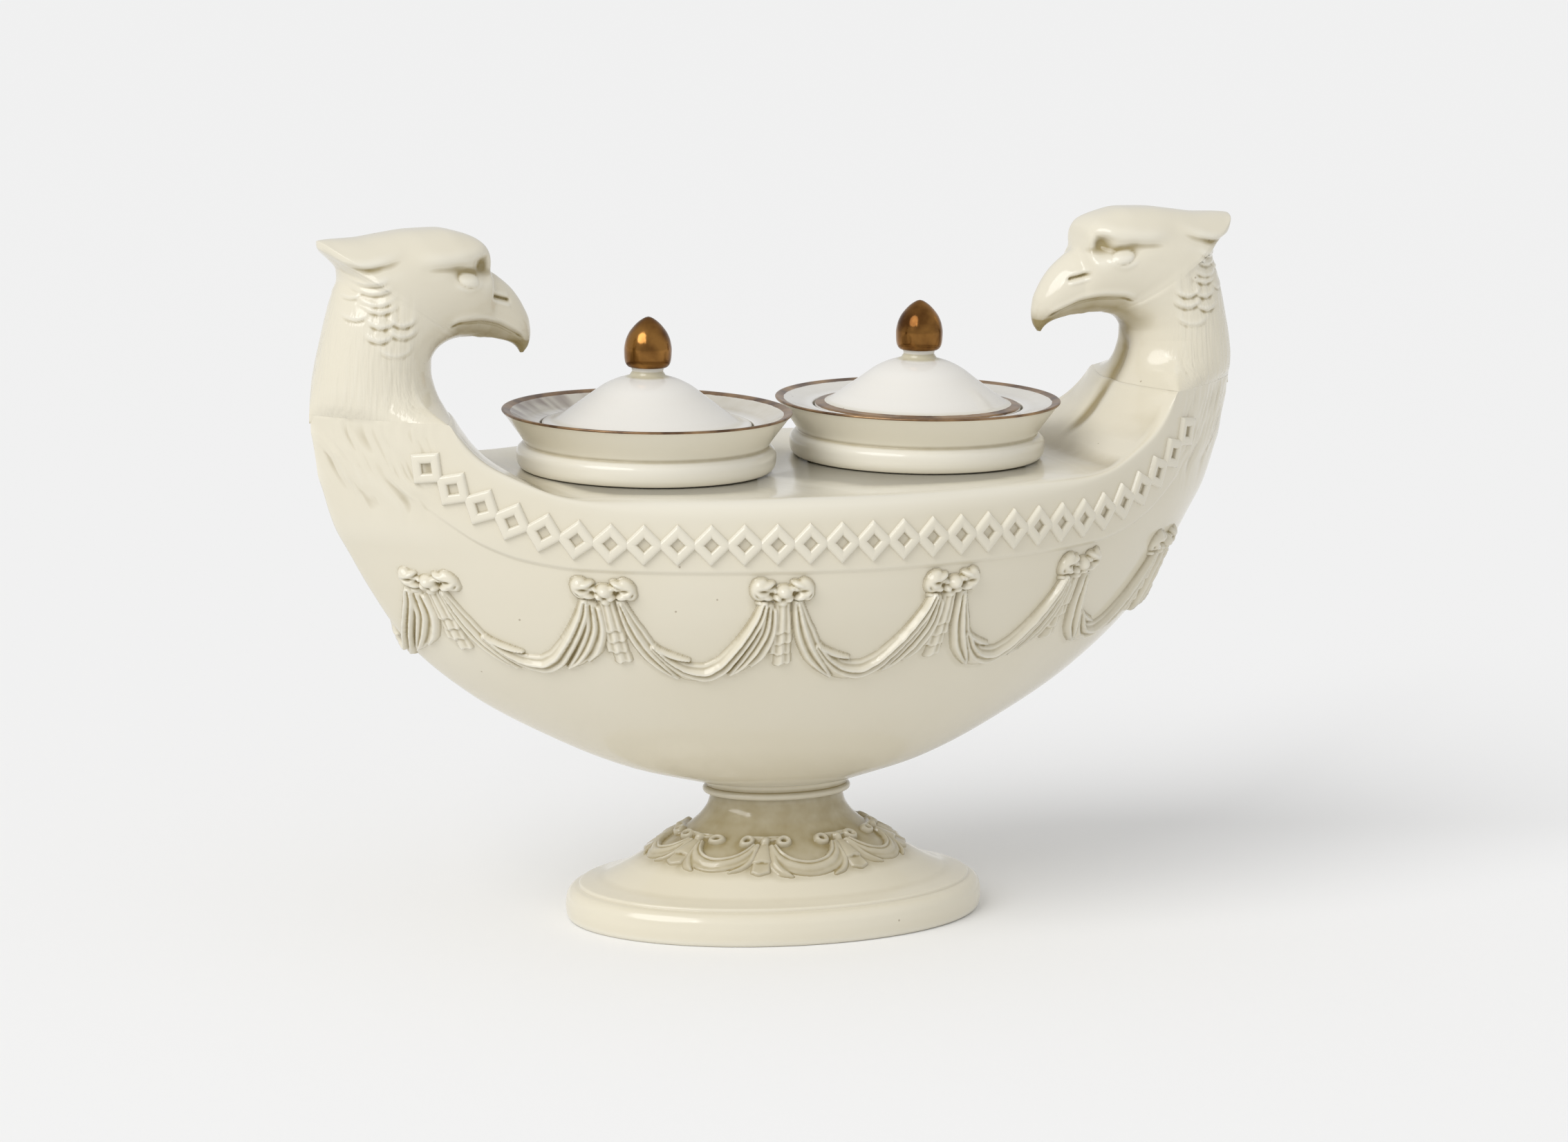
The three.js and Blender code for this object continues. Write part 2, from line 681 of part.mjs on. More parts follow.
// Swag from one bow to the next: it leaves each bow beside the tail and hangs in a curve
function swag(surface, fromTurn, toTurn, topZ, sag, sizes) {
  const shares = [0, 0.1, 0.25, 0.5, 0.75, 0.9, 1];
  return ribbon(surface, shares.map((share) => ({
    turn: fromTurn + (toTurn - fromTurn) * share,
    z: topZ - sag * (1 - Math.abs(2 * share - 1) ** 2.2),
    half: sizes.halfWidth * (0.45 + 0.55 * Math.sin(Math.PI * share)),
    relief: sizes.relief * (0.7 + 0.3 * Math.sin(Math.PI * share)),
  })), sizes.seat);
}

const bowLevelShare = 0.591;
const bowLevel = hullBase + bowLevelShare * hullRise;
const bowPlaceShares = [-0.796, -0.509, -0.18, 0.18, 0.509, 0.796];
const bowReach = halfLength * lengthShare(bowLevelShare);
const frontTurns = bowPlaceShares.map((share) => -Math.acos((share * halfLength) / bowReach));
const bowTurns = [...frontTurns, ...frontTurns.map((turn) => -turn).reverse()];
const hullBowSizes = {
  halfWidth: bowHalfWidth,
  halfHeight: bowHalfHeight,
  relief: bowRelief,
  tailDrop: bowHalfHeight + tailLength,
  tailHalfWidth,
};

function turnPerLengthAt(surface, turn, z) {
  const span = surface(turn + probe, z).distanceTo(surface(turn - probe, z));
  return (2 * probe) / span;
}

const swagTop = bowLevel - bowHalfHeight - joint * 2;
const swagStart = tailHalfWidth + swagHalfWidth * 0.8;
bowTurns.forEach((turn, i) => {
  const perLength = turnPerLengthAt(hullPoint, turn, bowLevel);
  addPiece(`hull_bow_${i + 1}`, bow(hullPoint, turn, bowLevel, perLength, hullBowSizes), glaze);
  const next = bowTurns[(i + 1) % bowTurns.length];
  const nextTurn = next > turn ? next : next + 2 * Math.PI;
  const nextPerLength = turnPerLengthAt(hullPoint, nextTurn, bowLevel);
  const strip = swag(
    hullPoint,
    turn + swagStart * perLength,
    nextTurn - swagStart * nextPerLength,
    swagTop,
    swagSag,
    { halfWidth: swagHalfWidth, relief: swagRelief },
  );
  addPiece(`hull_swag_${i + 1}`, strip, glaze);
});

const footBowLevelShare = 0.6;
const footBowLevel = footRim + footBowLevelShare * slopeRise;
const footBowSizes = {
  halfWidth: footBowHalfWidth,
  halfHeight: footBowHalfHeight,
  relief: footBowRelief,
  tailDrop: footTailDrop,
  tailHalfWidth: footTailHalfWidth,
  seat: footSprigSeat,
};
const footSwagTop = footBowLevel - footBowHalfHeight - joint;
const footSwagStart = footTailHalfWidth + footSwagHalfWidth * 0.8;
for (let i = 0; i < footBows; i += 1) {
  const turn = (2 * Math.PI * (i + 0.5)) / footBows;
  const nextTurn = turn + (2 * Math.PI) / footBows;
  const perLength = turnPerLengthAt(footPoint, turn, footBowLevel);
  const nextPerLength = turnPerLengthAt(footPoint, nextTurn, footBowLevel);
  addPiece(`foot_bow_${i + 1}`, bow(footPoint, turn, footBowLevel, perLength, footBowSizes), glaze);
  addPiece(`foot_swag_${i + 1}`, swag(
    footPoint,
    turn + footSwagStart * perLength,
    nextTurn - footSwagStart * nextPerLength,
    footSwagTop,
    footSwagSag,
    { halfWidth: footSwagHalfWidth, relief: footSwagRelief, seat: footSprigSeat },
  ), glaze);
}

export default group;
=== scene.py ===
# Boat-shaped cream-glazed inkstand with two eagle heads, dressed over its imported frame.
import math
import bpy
import numpy as np
from mathutils import Matrix, Vector
from mathutils.geometry import delaunay_2d_cdt


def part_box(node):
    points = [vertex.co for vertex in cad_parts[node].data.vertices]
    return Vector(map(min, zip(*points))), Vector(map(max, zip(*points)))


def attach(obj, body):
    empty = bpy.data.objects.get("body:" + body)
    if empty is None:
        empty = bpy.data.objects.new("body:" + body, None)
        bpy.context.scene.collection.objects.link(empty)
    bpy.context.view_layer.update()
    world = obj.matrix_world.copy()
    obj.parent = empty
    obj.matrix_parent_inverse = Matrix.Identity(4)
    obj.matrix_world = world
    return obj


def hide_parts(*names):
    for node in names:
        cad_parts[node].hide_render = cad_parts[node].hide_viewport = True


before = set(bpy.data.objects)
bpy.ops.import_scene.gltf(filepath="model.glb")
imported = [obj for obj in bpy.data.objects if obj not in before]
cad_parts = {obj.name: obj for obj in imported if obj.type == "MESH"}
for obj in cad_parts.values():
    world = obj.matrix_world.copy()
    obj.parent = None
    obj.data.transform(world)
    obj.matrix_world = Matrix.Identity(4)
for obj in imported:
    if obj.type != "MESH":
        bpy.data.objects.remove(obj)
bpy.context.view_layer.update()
mm = 0.001  # every shape below is worked out in millimetres and stored in metres


def nodeBox(name):
    low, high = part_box(name)
    return np.array(low) / mm, np.array(high) / mm


hullLow, hullHigh = nodeBox("hull_shell")
deckTop = nodeBox("deck_plate")[1][2]
reach = hullHigh[0]  # centre of the boat to its stem
halfBeam = 64.0
hullBase = hullLow[2]
seam = 149.0  # level joint between prow and neck
hullRise = seam - hullBase
print("frame read: reach", round(reach, 2), "base", round(hullBase, 2), "deck", round(deckTop, 2))


def smoothCurve(xs, ys):
    # monotone cubic through given points, with harmonic-mean tangents
    xs, ys = np.array(xs, float), np.array(ys, float)
    slopes = np.diff(ys) / np.diff(xs)
    total = slopes[:-1] + slopes[1:]
    product = slopes[:-1] * slopes[1:]
    inner = np.where(product > 0, 2 * product / np.where(product > 0, total, 1), 0)
    tangents = np.concatenate([slopes[:1], inner, slopes[-1:]])

    def at(x):
        x = np.asarray(x, float)
        i = np.clip(np.searchsorted(xs, x, side="right") - 1, 0, len(xs) - 2)
        span = xs[i + 1] - xs[i]
        t = np.clip((x - xs[i]) / span, 0, 1)
        value = (1 + 2 * t) * (1 - t) ** 2 * ys[i] + t * t * (3 - 2 * t) * ys[i + 1]
        return value + span * (t * (1 - t) ** 2 * tangents[i] - t * t * (1 - t) * tangents[i + 1])

    return at


def ease(x, low, high):
    # 0 below low, 1 above high, smooth between
    t = np.clip((x - low) / (high - low), 0, 1)
    return t * t * (3 - 2 * t)


def window(x, start, full, fade, end):
    # 1 from full to fade, easing to 0 at start and end
    return ease(x, start, full) * (1 - ease(x, fade, end))


def bell(x, centre, width):
    return np.exp(-(((x - centre) / width) ** 2))


def unit(vectors, least=1e-9):
    return vectors / np.maximum(np.linalg.norm(vectors, axis=-1, keepdims=True), least)


def lengthAlong(line, weight=1.0):
    steps = np.linalg.norm(np.diff(line, axis=0), axis=1)
    return np.concatenate([[0], np.cumsum(steps * weight)])


def evenTurns(count):
    return np.linspace(0, 2 * np.pi, count, endpoint=False)


def oval(turn, a, b, z):
    return np.stack(np.broadcast_arrays(a * np.cos(turn), b * np.sin(turn), z), -1)


def latticeMix(table, iu, iv, fu, fv):
    # the four lattice values round a place, mixed by how far it lies between them
    rows, cols = table.shape
    near = table[iu % rows, iv % cols] * (1 - fu) + table[(iu + 1) % rows, iv % cols] * fu
    far = table[iu % rows, (iv + 1) % cols] * (1 - fu) + table[(iu + 1) % rows, (iv + 1) % cols] * fu
    return near * (1 - fv) + far * fv


def grain(u, v, seed, size=64):
    # smooth value noise on a wrapped lattice, from -1 to 1
    table = np.random.default_rng(seed).uniform(-1, 1, (size, size))
    iu, iv = np.floor(u).astype(int), np.floor(v).astype(int)
    return latticeMix(table, iu, iv, ease(u - iu, 0, 1), ease(v - iv, 0, 1))


def gridQuads(rows, cols, wrapRows=False, wrapCols=False):
    r = np.arange(rows if wrapRows else rows - 1)
    c = np.arange(cols if wrapCols else cols - 1)
    r, c = np.meshgrid(r, c, indexing="ij")
    r2, c2 = (r + 1) % rows, (c + 1) % cols
    quads = np.stack([r * cols + c, r2 * cols + c, r2 * cols + c2, r * cols + c2], -1)
    return quads.reshape(-1, 4)


class Clay:
    # collects grids of points and faces into one closed skin, with a darkening value at each point: extra
    # pooled glaze, in places also painted shade

    def __init__(self):
        self.points, self.stains, self.faces, self.count = [], [], [], 0
        self.masks, self.calm = {}, None

    def add(self, points, quads, stain=0.0):
        points = points.reshape(-1, 3)
        self.points.append(points)
        self.stains.append(np.broadcast_to(np.asarray(stain, float).ravel(), (len(points),)))
        self.faces.append(quads + self.count)
        self.count += len(points)

    def addGrid(self, grid, wrapRows=False, wrapCols=True, stain=0.0):
        self.add(grid, gridQuads(grid.shape[0], grid.shape[1], wrapRows, wrapCols), stain)

    def addFan(self, ring):
        n = len(ring)
        i = np.arange(n)
        quads = np.stack([i, (i + 1) % n, np.full(n, n), np.full(n, n)], -1)
        self.add(np.vstack([ring, ring.mean(0)]), quads)

    def addStack(self, rings, stain=0.0):
        # rings one over another, closed at both ends
        self.addGrid(rings, stain=stain)
        self.addFan(rings[0])
        self.addFan(rings[-1][::-1])

    def welded(self, size=0.002):
        points, faces = np.vstack(self.points), np.vstack(self.faces)
        keys = np.round(points / size).astype(np.int64)
        _, first, back = np.unique(keys, axis=0, return_index=True, return_inverse=True)
        faces = back.ravel()[faces]
        same = faces == np.roll(faces, -1, axis=1)
        repeats = same.sum(1)
        whole = faces[repeats == 0]
        triangles = faces[repeats == 1][~same[repeats == 1]].reshape(-1, 3)
        return points[first], np.concatenate(self.stains)[first], whole, triangles


def edgesOf(quads, triangles):
    pairs = [quads[:, [i, (i + 1) % 4]] for i in range(4)]
    pairs += [triangles[:, [i, (i + 1) % 3]] for i in range(3)]
    return np.unique(np.sort(np.vstack(pairs), axis=1), axis=0)


def neighbourMean(values, edges):
    n = len(values)
    ends = np.concatenate([edges[:, 0], edges[:, 1]])
    others = np.concatenate([edges[:, 1], edges[:, 0]])
    degree = np.maximum(np.bincount(ends, minlength=n), 1)
    sums = [np.bincount(ends, values[others, k], n) for k in range(3)]
    return np.stack(sums, -1) / degree[:, None]


def vertexNormals(points, quads, triangles):
    cut = np.vstack([triangles, quads[:, [0, 1, 2]], quads[:, [0, 2, 3]]])
    a, b, c = points[cut[:, 0]], points[cut[:, 1]], points[cut[:, 2]]
    face = np.cross(b - a, c - a)
    sums = [np.bincount(cut.ravel(), np.repeat(face[:, k], 3), len(points)) for k in range(3)]
    volume = np.einsum("ij,ij->i", a, np.cross(b, c)).sum()
    return unit(np.stack(sums, -1), 1e-12), volume


def setMask(mesh, name, values):
    mask = mesh.attributes.new(name, "FLOAT", "POINT")
    mask.data.foreach_set("value", values.astype(np.float32))


def makePiece(name, clay, body, nodes, material, poolPasses, poolDepth, relaxed=None, sharp=55):
    points, stain, quads, triangles = clay.welded()
    edges = edgesOf(quads, triangles)
    if relaxed is not None:  # rounds creases: each point moves towards its neighbours' mean
        weight, passes = relaxed(points)
        for _ in range(passes):
            points = points + (neighbourMean(points, edges) - points) * (0.5 * weight)[:, None]
    normals, volume = vertexNormals(points, quads, triangles)
    if volume < 0:
        quads, triangles, normals = quads[:, ::-1], triangles[:, ::-1], -normals
    softened = points
    for _ in range(poolPasses):
        softened = neighbourMean(softened, edges)
    # glaze runs off edges and pools in hollows: the sign of the step to the softened skin
    hollow = np.clip(np.einsum("ij,ij->i", softened - points, normals) / poolDepth, -1, 1)
    if clay.calm is not None:  # no glaze line where two skins meet
        hollow = hollow * clay.calm(points)
    mesh = bpy.data.meshes.new(name)
    mesh.from_pydata((points * mm).tolist(), [], quads.tolist() + triangles.tolist())
    mesh.shade_smooth()
    mesh.set_sharp_from_angle(angle=math.radians(sharp))
    setMask(mesh, "pool", hollow)
    setMask(mesh, "stain", stain)
    for maskName, mask in clay.masks.items():
        setMask(mesh, maskName, mask(points))
    piece = bpy.data.objects.new(name, mesh)
    bpy.context.scene.collection.objects.link(piece)
    mesh.materials.append(material)
    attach(piece, body)
    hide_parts(*nodes)
    return piece


glazeLook = {
    "cream": (0.72, 0.668, 0.535), "pale": (0.79, 0.755, 0.65), "pooledAndShaded": (0.30, 0.235, 0.10),
    "speck": (0.22, 0.15, 0.08), "ink": (0.17, 0.115, 0.10), "roughness": 0.14, "ior": 1.5,
    # clouds of thinner glaze, and how uneven the pooled glaze is
    "toneScale": 14.0, "toneFrom": 0.36, "toneTo": 0.66, "thinShare": 0.3,
    "unevenScale": 220.0, "unevenGain": 0.5, "unevenBase": 0.75,
    # from a mask's value (first two) to the share of a colour (last two); the darkest colour stands for
    # pooled glaze and also for painted shade
    "paleShare": (-0.12, -0.9, 0.0, 0.7), "pooledAndShadedFrom": 0.1, "pooledAndShadedShare": 0.95,
    "speckScale": 190.0, "speckRare": 0.93, "speckShare": (0.04, 0.075, 0.55, 0.0),
    "rippleScale": 55.0, "ripple": {"Strength": 0.1, "Distance": 0.0012},
    "hatchScale": (1000.0, 1000.0, 55.0), "hatchDeep": 0.0006,
}
giltWear = {
    "frayScale": 420.0, "fray": 0.24, "from": 0.47, "to": 0.53, "scale": 130.0, "rubbed": (0.35, 0.68),
}
whiteLook = {"cream": (0.77, 0.745, 0.69), "pale": (0.79, 0.775, 0.735), "pooledAndShaded": (0.55, 0.50, 0.34)}
rimGilt = {"dark": (0.13, 0.075, 0.045), "light": (0.40, 0.25, 0.13), "metal": 0.8, "roughness": 0.3}
knobGilt = {"dark": (0.10, 0.04, 0.01), "light": (0.33, 0.16, 0.042), "metal": 0.95, "roughness": 0.17}


def node(tree, kind, inputs=None, **settings):
    made = tree.nodes.new(kind)
    for key, value in settings.items():
        setattr(made, key, value)
    for key, value in (inputs or {}).items():
        made.inputs[key].default_value = value
    return made


def blend(tree, factor, first, second):
    # second over first; each is a socket or a fixed colour
    mix = node(tree, "ShaderNodeMix", data_type="RGBA")
    tree.links.new(factor, mix.inputs[0])
    for slot, colour in ((6, first), (7, second)):
        if isinstance(colour, tuple):
            mix.inputs[slot].default_value = (*colour, 1)
        else:
            tree.links.new(colour, mix.inputs[slot])
    return mix.outputs[2]


def ramp(tree, source, low, high, lowColour, highColour):
    made = node(tree, "ShaderNodeValToRGB")
    for element, place, colour in zip(made.color_ramp.elements, (low, high), (lowColour, highColour)):
        element.position, element.color = place, (*colour, 1)
    tree.links.new(source, made.inputs[0])
    return made.outputs[0]


def noise(tree, place, scale, detail=2.0):
    made = node(tree, "ShaderNodeTexNoise", {"Scale": scale, "Detail": detail})
    tree.links.new(place, made.inputs["Vector"])
    return made.outputs[0]


def remap(tree, source, low, high, toLow, toHigh):
    made = node(tree, "ShaderNodeMapRange", {1: low, 2: high, 3: toLow, 4: toHigh})
    tree.links.new(source, made.inputs[0])
    return made.outputs[0]


def combine(tree, operation, first, second):
    made = node(tree, "ShaderNodeMath", operation=operation)
    for slot, value in enumerate((first, second)):
        if isinstance(value, float):
            made.inputs[slot].default_value = value
        else:
            tree.links.new(value, made.inputs[slot])
    return made.outputs[0]


def bumped(tree, height, values, normal=None):
    made = node(tree, "ShaderNodeBump", values)
    tree.links.new(height, made.inputs["Height"])
    if normal is not None:
        tree.links.new(normal, made.inputs["Normal"])
    return made.outputs[0]


def speckled(tree, place, colour):
    # small iron specks under the glaze
    g = glazeLook
    dots = node(tree, "ShaderNodeTexVoronoi", {"Scale": g["speckScale"]})
    tree.links.new(place, dots.inputs["Vector"])
    split = node(tree, "ShaderNodeSeparateColor")
    tree.links.new(dots.outputs["Color"], split.inputs[0])
    rare = combine(tree, "GREATER_THAN", split.outputs[0], g["speckRare"])
    spot = combine(tree, "MULTIPLY", remap(tree, dots.outputs["Distance"], *g["speckShare"]), rare)
    return blend(tree, spot, colour, g["speck"])


def glaze(name, look, poolGain=1.0, specks=True, gilt=None, inside=None, hatch=0.0):
    g = glazeLook
    material = bpy.data.materials.new(name)
    material.use_nodes = True
    tree = material.node_tree
    tree.nodes.clear()
    link = tree.links.new
    out = node(tree, "ShaderNodeOutputMaterial")
    shader = node(tree, "ShaderNodeBsdfPrincipled", {"IOR": g["ior"]})
    link(shader.outputs[0], out.inputs[0])
    place = node(tree, "ShaderNodeTexCoord").outputs["Object"]

    def mask(attribute):
        return node(tree, "ShaderNodeAttribute", attribute_name=attribute).outputs["Fac"]

    thin = tuple(c * (1 - g["thinShare"]) + p * g["thinShare"] for c, p in zip(look["cream"], look["pale"]))
    clouds = noise(tree, place, g["toneScale"], 3.0)
    colour = ramp(tree, clouds, g["toneFrom"], g["toneTo"], look["cream"], thin)
    if inside:  # whiter glaze inside a vessel
        colour = blend(tree, mask("white"), colour, inside["pale"])
    pool = mask("pool")
    uneven = combine(tree, "MULTIPLY", noise(tree, place, g["unevenScale"]), g["unevenGain"])
    uneven = combine(tree, "ADD", uneven, g["unevenBase"])
    # pooled glaze from the hollows plus each point's darkening, which in places is painted shade
    depth = combine(tree, "ADD", combine(tree, "MAXIMUM", pool, 0.0), mask("stain"))
    depth = combine(tree, "MULTIPLY", depth, uneven)
    colour = blend(tree, remap(tree, pool, *g["paleShare"]), colour, look["pale"])
    pooledAndShaded = remap(tree, depth, g["pooledAndShadedFrom"], 1.0, 0.0, g["pooledAndShadedShare"] * poolGain)
    colour = blend(tree, pooledAndShaded, colour, look["pooledAndShaded"])
    # old ink inside the pot, with a painted shadow and reflection of the gilt rim
    if inside:
        colour = blend(tree, mask("ink"), colour, g["ink"])
    if specks:
        colour = speckled(tree, place, colour)
    normal = bumped(tree, noise(tree, place, g["rippleScale"]), g["ripple"])
    if hatch:  # fine upright lines pressed into a neck
        stretch = node(tree, "ShaderNodeMapping", {"Scale": g["hatchScale"]})
        link(place, stretch.inputs[0])
        lines = combine(tree, "MULTIPLY", noise(tree, stretch.outputs[0], 1.0, 1.0), mask("hatch"))
        normal = bumped(tree, lines, {"Strength": hatch, "Distance": g["hatchDeep"]}, normal)
    link(normal, shader.inputs["Normal"])
    shader.inputs["Roughness"].default_value = g["roughness"]
    if gilt:  # worn gilding where the mask says, with a broken edge
        w = giltWear
        fray = combine(tree, "SUBTRACT", noise(tree, place, w["frayScale"], 3.0), 0.5)
        fray = combine(tree, "MULTIPLY", fray, w["fray"])
        where = remap(tree, combine(tree, "ADD", mask("gilt"), fray), w["from"], w["to"], 0.0, 1.0)
        rubbed = ramp(tree, noise(tree, place, w["scale"], 4.0), *w["rubbed"], gilt["dark"], gilt["light"])
        colour = blend(tree, where, colour, rubbed)
        link(combine(tree, "MULTIPLY", where, gilt["metal"]), shader.inputs["Metallic"])
        roughness = remap(tree, where, 0.0, 1.0, g["roughness"], gilt["roughness"])
        link(roughness, shader.inputs["Roughness"])
    link(colour, shader.inputs["Base Color"])
    return material


creamGlaze = glaze("cream_glaze", glazeLook)
neckGlaze = glaze("neck_glaze", glazeLook, hatch=0.45)
sprigGlaze = glaze("sprig_glaze", glazeLook, specks=False)
potGlaze = glaze("pot_glaze", glazeLook, 0.8, gilt=rimGilt, inside=whiteLook)
lidGlaze = glaze("lid_glaze", whiteLook, 0.9, gilt=rimGilt)
goldGlaze = glaze("knob_gilding", whiteLook, 0.5, gilt=knobGilt)
print("materials made")


# Hull, deck and prows are one skin, as the glaze covers their joints
hullShape = {
    "levelShares": [0, 0.05, 0.141, 0.26, 0.406, 0.552, 0.644, 0.717, 0.822, 0.863, 1],
    "lengthShares": [0.179, 0.329, 0.493, 0.657, 0.793, 0.874, 0.916, 0.948, 0.975, 0.984, 1],
    "widthShares": [0.258, 0.406, 0.578, 0.74, 0.878, 0.974, 1, 0.998, 0.985, 0.98, 0.97],
    "fullnessShares": [0.5, 0.56, 0.64, 0.71, 0.77, 0.82, 0.835, 0.836, 0.836, 0.836, 0.836],
    "stations": 560, "lowerRows": 72, "bandRows": 26, "innerRows": 40, "wall": 4.5,
    # crease between wall and deck, as height over distance from the centre
    "creaseAt": [0, 40, 60, 68.3, 83, 92.4, 99, 103.5, 107, 110, 140],
    "creaseHeights": [126, 126.2, 127, 127.9, 130.6, 134.2, 137.2, 140.6, 144.8, 149, 149.0001],
    "wornHalf": 3.0, "wornUnder": 4.5, "wornTo": (105, 109.5), "wornPasses": 22,
    # low ridge under the chain, in the same way, with the rows that lie close to it
    "ridgeAt": [0, 27, 56.8, 77.3, 90.5, 100.4, 110.3, 116.8, 128, 140],
    "ridgeHeights": [109.7, 109.9, 110, 110.3, 112.2, 115.9, 122.6, 128, 136, 141],
    "ridgeRows": [-1.1, -0.7, -0.4, -0.2, 0, 0.2, 0.4, 0.7, 1.1], "ridgeGap": 1.6,
    "ridgeStep": 0.65, "ridgeFade": (100, 121), "ridgeEdge": (-0.9, 0.7), "ridgeSlope": 16,
    # prow strands: slant, then where they begin and end, in length and in height
    "plumeSlant": 0.42, "plumeAt": (106, 118), "plumeHeights": (120, 132),
    "calmAt": (98, 101), "calmUnder": (0.8, 4),
}
deckShape = {
    "columns": 34, "columnPower": 1.4, "flatShare": 0.86, "flatReach": 75.5,
    "shoulder": 4.6, "risingAt": (83, 101),
    # where the row from each crease point crosses the boat's middle line
    "middleAt": [0, 76, 83, 92.4, 99, 103.5, 107, 110, 111, 113, 140],
    "middleReach": [0, 76, 81.6, 88.6, 92.2, 95.3, 98.3, 101.6, 102.7, 105.5, 140],
    "middleHeights": [129.5, 129.5, 130.1, 134.2, 137.2, 140.6, 144.8, 149, 149, 146.5, 146.5],
    "rowPower": 2.3, "rowPowerDrop": 0.7, "rowPowerAt": (84, 97),
    "grooveDeep": 1.3, "grooveHalf": 3.6, "grooveAt": (88, 104, 110.5, 111.5),
    # darkening down the middle of the throat: pooled glaze, with painted shade where the throat faces away
    # from the light
    "stain": 0.9, "poolAndShadeHalf": 2.8, "poolAndShadeAt": (86, 100, 110.5, 111.5),
    "wellRadius": 31.4, "wellSides": 96,
    # round the well's edge: outwards and upwards
    "wellEdge": [(0, -4.5), (0, -0.6), (0.2, -0.15), (0.5, 0)],
}
lengthCurve = smoothCurve(hullShape["levelShares"], hullShape["lengthShares"])
widthCurve = smoothCurve(hullShape["levelShares"], hullShape["widthShares"])
fullCurve = smoothCurve(hullShape["levelShares"], hullShape["fullnessShares"])
creaseCurve = smoothCurve(hullShape["creaseAt"], hullShape["creaseHeights"])
ridgeCurve = smoothCurve(hullShape["ridgeAt"], hullShape["ridgeHeights"])
middleCurve = smoothCurve(deckShape["middleAt"], deckShape["middleReach"])
middleHeight = smoothCurve(deckShape["middleAt"], deckShape["middleHeights"])


def levelOf(z):
    return (z - hullBase) / hullRise


def hullLength(z, inset=0.0):
    return reach * lengthCurve(levelOf(z)) - inset


def hullWidth(z, inset=0.0):
    return halfBeam * widthCurve(levelOf(z)) - inset


def hullPoint(turn, z, inset=0.0):
    # lens-shaped level: x = length cos t, y = width |sin t| to the power of twice the fullness
    side = np.abs(np.sin(turn)) ** (2 * fullCurve(levelOf(z))) * np.sign(np.sin(turn))
    x, y = hullLength(z, inset) * np.cos(turn), hullWidth(z, inset) * side
    return np.stack(np.broadcast_arrays(x, y, z), -1)


def hullSide(x, z):
    share = np.clip(np.abs(x) / hullLength(z), 0, 1)
    return hullWidth(z) * (1 - share**2) ** fullCurve(levelOf(z))


def hullTurn(x, z, sign):
    return sign * np.arccos(np.clip(x / hullLength(z), -1, 1))


def heightWhere(curve, turn, start=130.0, rounds=14):
    # height at which the wall meets a line drawn on it as height over distance from the centre
    z = np.full(np.shape(turn), start)
    for _ in range(rounds):
        z = curve(np.abs(hullLength(z) * np.cos(turn)))
    return z


def surfaceNormal(surface, turn, z, turnStep=0.003, zStep=0.3):
    acrossTurn = surface(turn + turnStep, z) - surface(turn - turnStep, z)
    alongZ = surface(turn, z + zStep) - surface(turn, z - zStep)
    normal = unit(np.cross(acrossTurn, alongZ))
    point = surface(turn, z)
    sign = np.sign(normal[..., :1] * point[..., :1] + normal[..., 1:2] * point[..., 1:2])
    return normal * np.where(sign == 0, 1, sign)


class Halo:
    # where glaze gathers round the sprigs, with painted shade: their margins counted on a turn and height
    # map, then blurred

    def __init__(self, low, high, turnCells, heightCells):
        self.low, self.high = low, high
        self.cells = np.zeros((turnCells, heightCells))

    def place(self, turn, z):
        u = (np.asarray(turn) / (2 * np.pi)) % 1 * self.cells.shape[0]
        v = (np.asarray(z) - self.low) / (self.high - self.low) * self.cells.shape[1]
        return u, np.clip(v, 0, self.cells.shape[1] - 1.001)

    def press(self, turn, z):
        u, v = self.place(turn, z)
        np.add.at(self.cells, (u.astype(int) % self.cells.shape[0], v.astype(int)), 1.0)

    def settle(self, passes, strength):
        for _ in range(passes):
            across = np.roll(self.cells, 1, 0) + np.roll(self.cells, -1, 0)
            up = np.pad(self.cells, ((0, 0), (1, 1)), mode="edge")
            self.cells = 0.2 * (self.cells + across + up[:, 2:] + up[:, :-2])
        self.cells = np.clip(self.cells * strength, 0, 1)

    def read(self, turn, z):
        u, v = self.place(turn, z)
        iu, iv = u.astype(int), v.astype(int)
        return latticeMix(self.cells, iu, iv, u - iu, v - iv)


# Diamond chain: square rings set point to point along each side
chainShape = {
    "pitch": 9.1, "count": 29, "half": 5.85, "hole": 1.7, "relief": 1.3, "stain": 0.5,
    "topShare": 0.918, "levelShare": 0.715, "riseStart": 0.44, "riseEnd": 0.84, "power": 2.6,
    "measured": 125, "measureSteps": 5001, "tangentStep": 0.9, "corners": 4, "ringSides": 40,
    # over one bar of a ring: share of the way from hole to outer edge, and share of the relief
    "bar": [
        (0, -0.4), (0.03, 0.4), (0.12, 0.82), (0.25, 1.0),
        (0.72, 1.0), (0.86, 0.86), (0.96, 0.5), (1.0, -0.4),
    ],
}


def chainTurn(x, sign):
    s = chainShape
    share = np.clip((np.abs(x) / reach - s["riseStart"]) / (s["riseEnd"] - s["riseStart"]), 0, 1)
    rise = (s["topShare"] - s["levelShare"]) * share ** s["power"]
    z = hullBase + hullRise * (s["levelShare"] + rise)
    return hullTurn(x, z, sign), z


